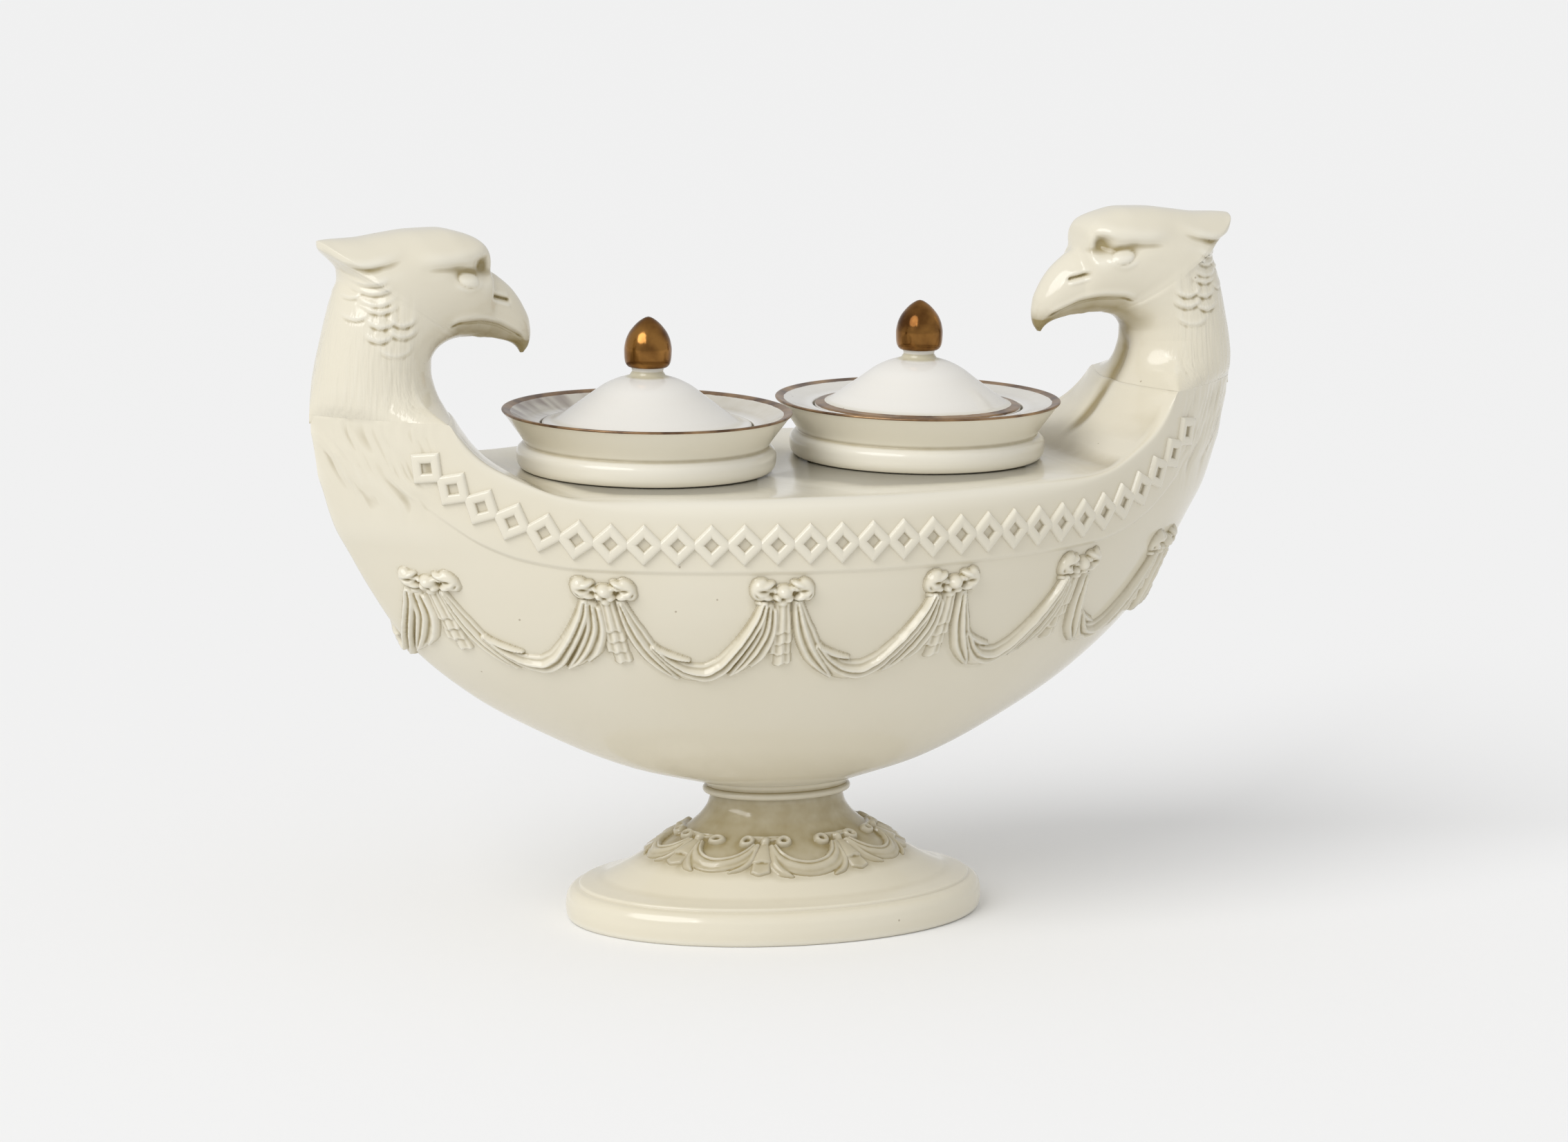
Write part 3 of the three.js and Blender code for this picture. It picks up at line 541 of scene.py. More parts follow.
def makeChain(side, sign):
    s = chainShape
    fine = np.linspace(0, s["measured"], s["measureSteps"])
    run = lengthAlong(hullPoint(*chainTurn(fine, sign)))
    order = np.arange(s["count"]) - s["count"] // 2
    places = np.sign(order) * np.interp(np.abs(order) * s["pitch"], run, fine)
    clay = Clay()
    bar = np.array(s["bar"])
    corners = np.array([[1, 0], [0, 1], [-1, 0], [0, -1], [1, 0]], float)
    walk = np.linspace(0, s["corners"], s["ringSides"], endpoint=False)
    k, f = np.floor(walk).astype(int), (walk % 1)[:, None]
    square = corners[k] * (1 - f) + corners[k + 1] * f
    for x in places:
        turn, z = chainTurn(np.array(x), sign)
        ahead, behind = (hullPoint(*chainTurn(np.array(x + d * s["tangentStep"]), sign)) for d in (1, -1))
        tangent = unit(ahead - behind)
        normal = surfaceNormal(hullPoint, turn, z)
        across = np.cross(normal, tangent)
        size = s["hole"] + (s["half"] - s["hole"]) * bar[None, :, 0]
        u, v = square[:, None, 0] * size, square[:, None, 1] * size
        grid = hullPoint(turn, z) + u[..., None] * tangent + v[..., None] * across
        # each point is dropped onto the curved wall, then raised along the normal
        grid[..., 1] = np.abs(hullSide(grid[..., 0], grid[..., 2])) * sign
        edgeTurn = hullTurn(grid[..., 0], grid[..., 2], sign)
        hullHalo.press(edgeTurn[:, [0, -1]], grid[:, [0, -1], 2])
        raised = grid + normal * (bar[None, :, 1] * s["relief"])[..., None]
        clay.addGrid(raised, wrapRows=True, stain=s["stain"] * (bar[:, 1] < 0.5) + 0 * u)
    nodes = [f"{side}_diamond_chain"]
    return makePiece(f"{side}_diamonds", clay, "stand", nodes, sprigGlaze, 2, 0.35, sharp=40)


# Sprigged bows and swags: height maps (a to the right, b down, mm) pressed onto the curved clay
bowShape = {
    "tierEnds": [11.8, 15.2, 18.6, 22.2], "drifts": [0.0, 0.2, -0.3], "lastDrift": 0.5, "lastSlim": 0.75,
    # across, down, half width, half height, height and tilt of each crumpled fold
    "folds": [
        (-6.1, -1.1, 2.7, 3.3, 2.5, 0.3), (-4.6, -2.4, 2.6, 1.0, 2.5, -0.25),
        (-4.8, 0.9, 2.3, 1.0, 2.2, 0.25),
        (6.4, -0.9, 2.4, 3.3, 2.4, -0.2), (4.8, -2.4, 2.5, 1.0, 2.4, 0.3), (5.1, 0.9, 2.3, 1.1, 2.3, -0.3),
        (-2.7, -0.9, 1.4, 0.9, 2.0, 0.2), (3.0, -1.3, 1.8, 0.9, 2.2, 0.2), (0.4, -0.5, 2.4, 1.9, 3.1, 0),
        (-1.7, 1.1, 1.4, 1.0, 2.5, 0.5), (1.6, 1.3, 1.6, 1.1, 2.6, -0.4), (-0.2, 2.6, 1.5, 1.2, 2.0, 0),
        (-5.6, 2.9, 1.9, 0.8, 1.4, 0.1),
    ],
    # slits where the ribbon turns over, and small folds across the loops: the same, with one depth
    "slits": [
        (-5.3, -0.9, 1.6, 0.5, 0.1), (5.6, -0.8, 1.4, 0.5, -0.1), (-7.3, 0.6, 1.1, 0.3, 0.9),
        (7.6, 0.5, 1.0, 0.3, -0.9), (-2.9, -0.1, 0.4, 1.6, 0.0), (3.0, 0.0, 0.4, 1.5, 0.1),
    ],
    "slitDeep": 0.62,
}
# each strand: its path, its half widths along the way, height, pleats, their phase and depth
swagStrands = [
    ([(4.0, 3.0), (5.0, 8), (6.7, 13.4), (9.2, 18.8), (12.0, 23), (15.4, 27.0)],
     [1.3, 2.2, 3.0, 3.1, 2.2, 0.5], 2.2, 2.4, 0.6, 0.36),
    ([(10.6, 16.5), (14.6, 21.2), (19.4, 24.3), (24, 25.2), (29, 23.2), (34, 18.4), (38.6, 12.2), (41.8, 6.4),
      (43, 3)], [1.1, 1.7, 2.4, 2.8, 2.6, 2.2, 1.9, 1.6, 1.1], 2.7, 2.0, 0.9, 0.36),
    ([(44.4, 4), (43.4, 10.6), (40.4, 17.2), (36.0, 22.6), (31.6, 26.0)],
     [1.2, 2.1, 2.2, 1.6, 0.35], 2.1, 2.4, 0.4, 0.36),
    ([(45.8, 5), (45.2, 11), (42.6, 18.0), (38.6, 23)], [0.9, 1.3, 1.4, 0.35], 1.8, 1.2),
    ([(11.2, 16.6), (15.0, 19.4), (20.4, 20.9)], [0.4, 1.1, 0.35], 2.3, 1.0),
    ([(12.4, 21.6), (17.5, 26.4), (24.5, 28.2)], [0.8, 1.2, 0.35], 1.4, 1.0),
]
footSwagStrands = [
    ([(1.8, 1.6), (3.0, 5.0), (6.2, 8.4), (10.5, 9.8), (14.8, 8.4), (18, 5.0), (19.2, 1.6)],
     [0.7, 1.5, 2.1, 2.3, 2.1, 1.5, 0.7], 1.8, 1.3, 0.6, 0.25),
    ([(2.8, 1.4), (4.4, 4.4), (7.2, 6.9), (10.5, 7.8), (13.8, 6.9), (16.6, 4.4), (18.2, 1.4)],
     [0.4, 0.6, 0.7, 0.75, 0.7, 0.6, 0.4], 2.2, 0.8),
    ([(2.0, 2.6), (2.6, 7.0), (4.6, 10.6), (6.2, 12.0)], [0.7, 1.2, 1.1, 0.4], 1.5, 1.2),
    ([(19.0, 2.6), (18.4, 7.0), (16.4, 10.6), (14.8, 12.0)], [0.7, 1.2, 1.1, 0.4], 1.5, 1.2),
]
footBowShape = {
    "loops": [(-5.2, -0.1, 1.4, 1.3, 0.8, 1.9), (5.2, -0.1, 1.4, 1.3, 0.8, 1.9)],
    "band": (
        [(-4.8, -1.4), (-2.4, -1.3), (0, -1.0), (2.4, -1.3), (4.8, -1.4)],
        [0.7, 0.8, 1.1, 0.8, 0.7], 1.6, 1.25, 1.0,
    ),
    "knot": (0, -0.2, 1.4, 1.7, 2.2, 0),
    "firstEnd": 7.4, "lastEnd": 12.0,
}
sprigSets = {
    "hull": {
        "pieces": ("bow", "swag"), "sunk": 0.45, "tint": 0.03, "step": 0.27, "level": 0.591,
        "shares": [-0.796, -0.509, -0.18, 0.18, 0.509, 0.796],
        # left, right, upper and lower end of each height map
        "bow": (-10.6, 10.4, -5.2, 23.4), "swag": (0, 48.0, 2.2, 29.4),
    },
    "foot": {
        # the foot's sprigs take a tint of pooled glaze and painted shade under the hull, as the slope does
        "pieces": ("foot_bow_piece", "foot_swag_piece"), "sunk": 0.35, "tint": 0.42, "step": 0.24,
        "level": 0.56, "count": 8,
        "bow": (-8.0, 8.0, -2.6, 12.4), "swag": (0, 21.0, 0.2, 13.0),
    },
    "relief": 0.75, "above": 8, "below": 34, "lowest": 10.6, "lineSteps": 400, "bedded": 0.12, "least": 0.05,
    "margin": 0.6, "marginFade": 0.5, "turnStep": 0.004,
}


def tilted(a, b, ca, cb, tilt):
    c, s = math.cos(tilt), math.sin(tilt)
    return (a - ca) * c + (b - cb) * s, (b - cb) * c - (a - ca) * s


def dome(a, b, ca, cb, ra, rb, height, tilt):
    u, v = tilted(a, b, ca, cb, tilt)
    return height * np.sqrt(np.clip(1 - (u / ra) ** 2 - (v / rb) ** 2, 0, 1))


def loop(a, b, ca, cb, ra, rb, tube, height):
    d = (np.hypot((a - ca) / ra, (b - cb) / rb) - 1) * (ra + rb) / 2
    return height * np.sqrt(np.clip(1 - (d / tube) ** 2, 0, 1))


def strand(a, b, path, halves, height, pleats=2.0, phase=0.0, deep=0.3):
    # ridge along a smooth path, with lengthwise pleats
    path = np.array(path, float)
    knots = np.linspace(0, 1, len(path))
    t = np.linspace(0, 1, 90)
    px, py = smoothCurve(knots, path[:, 0])(t), smoothCurve(knots, path[:, 1])(t)
    half = smoothCurve(np.linspace(0, 1, len(halves)), halves)(t)
    distance = np.hypot(a[..., None] - px, b[..., None] - py)
    nearest = distance.argmin(-1)
    dx, dy = np.gradient(px)[nearest], np.gradient(py)[nearest]
    side = np.sign(dx * (b - py[nearest]) - dy * (a - px[nearest]))
    d = np.take_along_axis(distance, nearest[..., None], -1)[..., 0] * side / half[nearest]
    wander = 0.5 * np.sin(5.0 * t[nearest] + 3.0 * phase)
    fold = 1 - 0.8 * deep + 0.8 * deep * np.cos(np.pi * pleats * d + phase + 2.0 * t[nearest] + wander)
    return height * np.clip(1 - d**2, 0, 1) ** 0.4 * fold


def highest(parts):
    return np.max(np.stack(parts), axis=0)


def bowRelief(a, b):
    # the tail hangs in four tiers that widen downwards
    s = bowShape
    ends = s["tierEnds"]
    lean = a + 0.02 * np.maximum(b - 3, 0)
    half = 2.0 + 0.085 * np.maximum(b - 4, 0)
    pleat = 0.78 + 0.22 * np.cos(2.1 * np.pi * lean / half + 0.4)
    folds = b + 0.16 * a + 0.35 * np.cos(2.0 * a)
    inTier = [folds < end for end in ends]
    tier = np.select(inTier, [(folds - low) / (high - low) for low, high in zip([0] + ends, ends)], 0)
    drift = np.select(inTier[:3], s["drifts"], s["lastDrift"])
    slim = np.where(inTier[2], 1.0, s["lastSlim"])
    body = np.clip(1 - ((lean - drift) / (half * slim)) ** 2, 0, 1) ** 0.4
    tail = (1.0 + 0.95 * tier) * body * pleat * (b > 2.5) * inTier[3]
    crumpled = highest([dome(a, b, *fold) for fold in s["folds"]])
    for ca, cb, length, width, tilt in s["slits"]:
        u, v = tilted(a, b, ca, cb, tilt)
        crumpled = crumpled * (1 - s["slitDeep"] * np.exp(-((u / length) ** 2) - (v / width) ** 2))
    return highest([crumpled, tail])


def swagRelief(a, b):
    return highest([strand(a, b, *row) for row in swagStrands])


def footBowRelief(a, b):
    s = footBowShape
    half = 1.25 + 0.17 * np.maximum(b - 1, 0)
    wide = np.abs(a)
    first = (0.9 + 0.9 * b / s["firstEnd"]) * (b < s["firstEnd"] + 0.15 * wide)
    second = (0.8 + 0.5 * (b - s["firstEnd"]) / 4.0) * (b < s["lastEnd"] - 0.55 * wide) * (wide < 1.9)
    tail = np.where(first > 0, first * np.clip(1 - (a / half) ** 2, 0, 1) ** 0.35, second) * (b > 0.8)
    ribbon = [loop(a, b, *row) for row in s["loops"]] + [strand(a, b, *s["band"]), dome(a, b, *s["knot"])]
    return sprigSets["relief"] * highest(ribbon + [tail])


def footSwagRelief(a, b):
    return sprigSets["relief"] * highest([strand(a, b, *row) for row in footSwagStrands])


def reliefMap(relief, box, step):
    # heights on a grid, lightly blurred as a glaze would, and the quads that carry clay
    aLow, aHigh, bLow, bHigh = box
    a, b = np.arange(aLow, aHigh + step, step), np.arange(bLow, bHigh + step, step)
    a, b = np.meshgrid(a, b, indexing="ij")
    h = relief(a, b) * (1 + 0.07 * grain(a * 0.6, b * 0.6, 31))
    for _ in range(2):
        p = np.pad(h, 1, mode="edge")
        h = 0.5 * h + 0.125 * (p[2:, 1:-1] + p[:-2, 1:-1] + p[1:-1, 2:] + p[1:-1, :-2])
    quads = gridQuads(*h.shape)
    return a, b, h, quads[(h.ravel()[quads] > sprigSets["least"]).any(1)]


def pressOn(part, wall, number, kind, turn, lineTurn, pressed):
    # b is measured down the wall from startZ; the back of the sprig is sunk in the wall
    surface, halo, startZ = wall
    s = sprigSets
    a, b, h, quads = pressed
    zs = np.linspace(startZ + s["above"], max(startZ - s["below"], s["lowest"]), s["lineSteps"])
    run = lengthAlong(surface(np.full(zs.shape, lineTurn), zs))
    run -= np.interp(s["above"], (startZ + s["above"] - zs), run)
    z = np.interp(b, run, zs)
    point, normal = surface(turn, z), surfaceNormal(surface, turn, z)
    top = point + normal * (h - s["bedded"])[..., None]
    back = point - normal * s[part]["sunk"]
    n = h.size
    edges = np.vstack([quads[:, [i, (i + 1) % 4]] for i in range(4)])
    _, first, counts = np.unique(np.sort(edges, axis=1), axis=0, return_index=True, return_counts=True)
    rim = edges[first[counts == 1]]
    halo.press(turn.ravel()[rim[:, 0]], z.ravel()[rim[:, 0]])
    skirt = np.stack([rim[:, 1], rim[:, 0], rim[:, 0] + n, rim[:, 1] + n], -1)
    faces = np.vstack([quads, quads[:, ::-1] + n, skirt])
    used = np.zeros(2 * n, bool)
    used[faces.ravel()] = True
    points = np.vstack([top.reshape(-1, 3), back.reshape(-1, 3)])
    # glaze pooled at the sprig's margin, plus the set's tint, which on the foot is also painted shade under
    # the hull
    margin = s["margin"] * np.exp(-np.tile(h.ravel(), 2) / s["marginFade"]) + s[part]["tint"]
    clay = Clay()
    clay.add(points[used], (np.cumsum(used) - 1)[faces], margin[used])
    name = f"{s[part]['pieces'][kind]}_{number}"
    nodes = [f"{part}_{('bow', 'swag')[kind]}_{number}"]
    return makePiece(name, clay, "stand", nodes, sprigGlaze, 6, 0.32, sharp=70)


def dress(part, wall, turns, bow, swag):
    # a bow at each turn, and a swag from it to the next
    surface, _, startZ = wall
    s = sprigSets[part]
    bowMap, swagMap = reliefMap(bow, s["bow"], s["step"]), reliefMap(swag, s["swag"], s["step"])
    step = sprigSets["turnStep"]
    for i, (turn, following) in enumerate(zip(turns, np.append(turns[1:], turns[0] + 2 * np.pi))):
        perTurn = np.linalg.norm(surface(turn + step, startZ) - surface(turn - step, startZ)) / (2 * step)
        pressOn(part, wall, i + 1, 0, turn + bowMap[0] / perTurn, turn, bowMap)
        swagTurns = turn + swagMap[0] * (following - turn) / s["swag"][1]
        pressOn(part, wall, i + 1, 1, swagTurns, (turn + following) / 2, swagMap)


footShape = {
    "halfLength": 59.9, "halfWidth": 41.9, "neckLength": 19.4, "neckWidth": 13.6, "top": 35.3, "rim": 10.4,
    "levelShares": [0, 0.014, 0.043, 0.1, 0.195, 0.328, 0.45, 0.523, 0.594, 0.667, 0.743, 0.867, 1],
    "slopeShares": [1, 0.95, 0.865, 0.775, 0.65, 0.5, 0.375, 0.29, 0.205, 0.135, 0.08, 0.024, 0],
    "rimHeights": [0, 0.5, 1.6, 4.0, 6.4, 8.0, 8.9, 9.2, 9.35, 9.9, 10.25, 10.4],
    "rimProud": [0.3, 0.9, 1.35, 1.6, 1.35, 0.6, -0.4, -1.2, -2.0, -2.15, -2.5, -3.1],
    "sides": 240, "rimRows": 22, "edgeRows": 26, "slopeRows": 70, "edgeFrom": (8, 8.15),
    "hollowTop": 29.3, "hollowRows": 30, "roof": 5.4, "thinning": 1.5,
    # share of pooled glaze: round the sprigs, up the slope and in the rim's groove; round the sprigs it is
    # also painted shade, and up the slope painted shadow of the hull
    "haloPoolAndShade": 0.4, "haloAt": (11.0, 12.5), "slopePoolAndShadow": 0.76, "slopeAt": (13, 24), "grooveStain": 0.1,
    "grooveZ": 9.3, "grooveHalf": 0.4,
}
slopeCurve = smoothCurve(footShape["levelShares"], footShape["slopeShares"])
rimCurve = smoothCurve(footShape["rimHeights"], footShape["rimProud"])


def footHalves(z):
    s = footShape
    spread = slopeCurve((z - s["rim"]) / (s["top"] - s["rim"]))
    ledge, proud, low = rimCurve(s["rim"]), rimCurve(z), z <= s["rim"]

    def half(full, neck):
        return np.where(low, full + proud, neck + (full + ledge - neck) * spread)

    return half(s["halfLength"], s["neckLength"]), half(s["halfWidth"], s["neckWidth"])


def footPoint(turn, z):
    return oval(turn, *footHalves(z), z)


hullHalo = Halo(hullBase, seam, 1100, 220)
footHalo = Halo(footShape["rim"], footShape["top"], 400, 60)
makeChain("front", -1)
makeChain("back", 1)
print("diamond chains made")

hullSet, footSet = sprigSets["hull"], sprigSets["foot"]
nearTurns = -np.arccos(np.array(hullSet["shares"]) / lengthCurve(hullSet["level"]))
sprigTurns = np.concatenate([nearTurns, -nearTurns[::-1]])
hullWall = (hullPoint, hullHalo, hullBase + hullSet["level"] * hullRise)
dress("hull", hullWall, sprigTurns, bowRelief, swagRelief)
footTurns = 2 * np.pi * (np.arange(footSet["count"]) + 0.5) / footSet["count"]
footRise = footShape["top"] - footShape["rim"]
footWall = (footPoint, footHalo, footShape["rim"] + footSet["level"] * footRise)
dress("foot", footWall, footTurns, footBowRelief, footSwagRelief)
hullHalo.settle(5, 0.55)
footHalo.settle(3, 0.5)
print("sprigs made")


def stationTurns():
    # even steps of length round the boat's plan, closer together at the prows
    quarter = np.linspace(0, np.pi / 2, 3000)
    plan = hullPoint(quarter, np.full(quarter.shape, 120.0))
    run = lengthAlong(plan, 1 + 1.6 * ease(plan[1:, 0], 88, 106))
    first = np.interp(np.linspace(0, run[-1], hullShape["stations"] // 4 + 1), run, quarter)
    half = np.concatenate([first, np.pi - first[-2::-1]])
    return np.concatenate([-np.pi + half, half[1:-1]])


def ridgeOffset(x, above):
    # the band over the ridge stands a little proud of the wall under it
    s = hullShape
    depth = s["ridgeStep"] * (1 - ease(np.abs(x), *s["ridgeFade"]))
    under = np.exp(np.minimum(above, 0) / s["ridgeSlope"])
    return -depth * (1 - ease(above, *s["ridgeEdge"])) * under


def plumes(x, z):
    # loose strands that flow down the prow from the neck and end in tips
    x = np.abs(x)
    flow = x - hullShape["plumeSlant"] * (z - seam) + 2.2 * grain(z / 9, x / 22, 5)
    strands = 1 - 2.6 * np.abs(grain(flow / 2.6, z / 17, 11))
    fine = 1 - 2.6 * np.abs(grain(flow / 1.2, z / 9, 12))
    tips = 8 * grain(flow / 3.6, z * 0 + 3.5, 13)
    zone = ease(x, *hullShape["plumeAt"]) * ease(z + tips, *hullShape["plumeHeights"])
    return (0.20 * strands + 0.14 * fine - 0.08) * zone


def wallSkin(turns):
    s = hullShape
    ridge, crease = heightWhere(ridgeCurve, turns), heightWhere(creaseCurve, turns)
    lower = np.linspace(0, 1, s["lowerRows"])[:, None] ** 1.25
    band = np.linspace(0, 1, s["bandRows"])[:, None]
    rows = [hullBase + lower * (ridge - s["ridgeGap"] - hullBase), ridge + np.array(s["ridgeRows"])[:, None]]
    rows.append(ridge + s["ridgeGap"] + band * (crease - ridge - s["ridgeGap"]))
    z = np.vstack(rows)
    flat = hullPoint(turns[None, :], z)
    closed = np.concatenate([flat[:, -1:], flat, flat[:, :1]], axis=1)
    out = unit(np.cross(np.gradient(closed, axis=0), np.gradient(closed, axis=1)))[:, 1:-1]
    out *= np.sign((out[..., 0] * flat[..., 0] + out[..., 1] * flat[..., 1]))[..., None]
    strands = plumes(flat[..., 0], z)
    raised = (ridgeOffset(flat[..., 0], z - ridge) + strands) * ease(crease - z, 0, 0.8)
    # pooled glaze with painted shade round the sprigs, pooled glaze in the strands' grooves, and darker
    # towards the bottom
    stain = hullHalo.read(turns[None, :], z) * 0.5 + 0.4 * np.clip(-strands, 0, 0.5)
    stain += 0.1 * (1 - ease(z, hullBase, hullBase + 12))
    return flat + out * raised[..., None], stain


def rowPower(kx):
    return deckShape["rowPower"] - deckShape["rowPowerDrop"] * ease(kx, *deckShape["rowPowerAt"])


def throatGroove(y):
    return deckShape["grooveDeep"] * bell(y, 0, deckShape["grooveHalf"])


def deckShares():
    return 1 - (1 - np.arange(deckShape["columns"] + 1) / deckShape["columns"]) ** deckShape["columnPower"]


def deckSkin(near):
    # rows run from the near crease over the boat's middle line to the far crease
    s = deckShape
    share = deckShares()
    share = np.concatenate([-share[:0:-1], share])[None, :]
    kx, ky, kz = np.abs(near[:, 0])[:, None], np.abs(near[:, 1])[:, None], near[:, 2][:, None]
    cx, cz = middleCurve(kx), middleHeight(kx)
    rising = ease(kx, *s["risingAt"])
    x = cx + (kx - cx) * np.abs(share) ** rowPower(kx)
    edge = np.clip((np.abs(share) * ky - (ky - s["shoulder"])) / s["shoulder"], 0, 1)
    drop = 1 - np.sqrt(1 - edge**2)
    z = cz + (kz - cz) * (drop * (1 - rising) + np.abs(share) ** 2 * rising)
    y = share * ky
    x = x + throatGroove(y) * window(kx, *s["grooveAt"])
    # pooled glaze and painted shade down the middle of the throat
    stain = s["stain"] * bell(y, 0, s["poolAndShadeHalf"]) * window(kx, *s["poolAndShadeAt"])
    return np.stack([x * np.sign(near[:, :1]), y, z], -1), stain


def flatWithHoles(loopPoints, circles, z):
    # a level area between an outer loop and round holes, cut into triangles
    outlines = [loopPoints[:, :2]] + [c[:, :2] for c in circles]
    edges, start = [], 0
    for outline in outlines:
        n = len(outline)
        edges += [(start + i, start + (i + 1) % n) for i in range(n)]
        start += n
    flat = [Vector(p) for p in np.vstack(outlines)]
    found = delaunay_2d_cdt(flat, edges, [list(range(len(loopPoints)))], 1, 1e-5)
    points = np.array([list(p) for p in found[0]])
    faces = np.array([f for f in found[2] if len(f) == 3])
    middle = points[faces].mean(1)
    inside = np.zeros(len(faces), bool)
    for circle in circles:
        centre = circle[:, :2].mean(0)
        inside |= np.linalg.norm(middle - centre, axis=1) < np.linalg.norm(circle[0, :2] - centre)
    return np.column_stack([points, np.full(len(points), z)]), faces[~inside][:, [0, 1, 2, 2]]


potX = np.mean([side[0] for side in nodeBox("right_ink_pot")])


def makeHull():
    h, s = hullShape, deckShape
    turns = stationTurns()
    stations = len(turns) // 2 + 1
    wall, wallPoolAndShade = wallSkin(turns)
    near = wall[-1][:stations]
    deck, deckPoolAndShade = deckSkin(near)
    # the level middle of the deck is left out of its grid, for the wells
    half, cols = s["columns"], 2 * s["columns"] + 1
    flatColumns = int(np.argmax(deckShares() > s["flatShare"]))
    level = np.where(np.abs(near[:, 0]) < s["flatReach"])[0]
    i0, i1, j0, j1 = level[0], level[-1], half - flatColumns, half + flatColumns
    quads = gridQuads(stations, cols)
    r, c = quads[:, 0] // cols, quads[:, 0] % cols
    kept = ~((r >= i0) & (r < i1) & (c >= j0) & (c < j1))
    clay = Clay()
    # every grid and fan below is listed so that its faces look out of the clay
    clay.addGrid(wall[::-1], stain=wallPoolAndShade[::-1])
    clay.add(deck, quads[kept], deckPoolAndShade)
    rimLoop = np.vstack([deck[i0:i1, j0], deck[i1, j0:j1], deck[i1:i0:-1, j1], deck[i0, j1:j0:-1]])
    ring = oval(evenTurns(s["wellSides"]), 1, 1, 0)
    under = deckTop - h["wall"]
    wells = []
    for x in (-potX, potX):
        wells.append(np.stack([ring * (s["wellRadius"] + g) + [x, 0, deckTop + d] for g, d in s["wellEdge"]]))
        clay.addGrid(wells[-1])
    clay.add(*flatWithHoles(rimLoop, [well[-1] for well in wells], deckTop))
    inner = np.linspace(hullBase + h["wall"], under, h["innerRows"])
    hollow = hullPoint(turns[None, ::4], inner[:, None], h["wall"])
    ceiling, ceilingFaces = flatWithHoles(hollow[-1], [well[0] for well in wells], under)
    clay.add(ceiling, ceilingFaces[:, ::-1])
    clay.addGrid(hollow)
    clay.addFan(hollow[0])
    clay.addFan(wall[0][::-1])

    def softened(points):
        # the crease is worn round, up to where the neck's ledge begins
        x = np.abs(points[:, 0])
        onWall = np.abs(points[:, 1]) > hullSide(x, np.minimum(points[:, 2], seam)) - h["wornUnder"]
        close = bell(points[:, 2], creaseCurve(x), h["wornHalf"])
        return close * onWall * (1 - ease(x, *h["wornTo"])), h["wornPasses"]

    def calm(points):
        # no glaze line at the seam, where the neck stands on the prow
        onProw = ease(np.abs(points[:, 0]), *h["calmAt"])
        return 1 - onProw * (1 - ease(seam - points[:, 2], *h["calmUnder"]))

    clay.calm = calm
    names = ["hull_shell", "deck_plate"]
    return makePiece("hull_and_deck", clay, "stand", names, creamGlaze, 14, 0.8, softened, 45)


hull = makeHull()
print("hull made", len(hull.data.polygons))


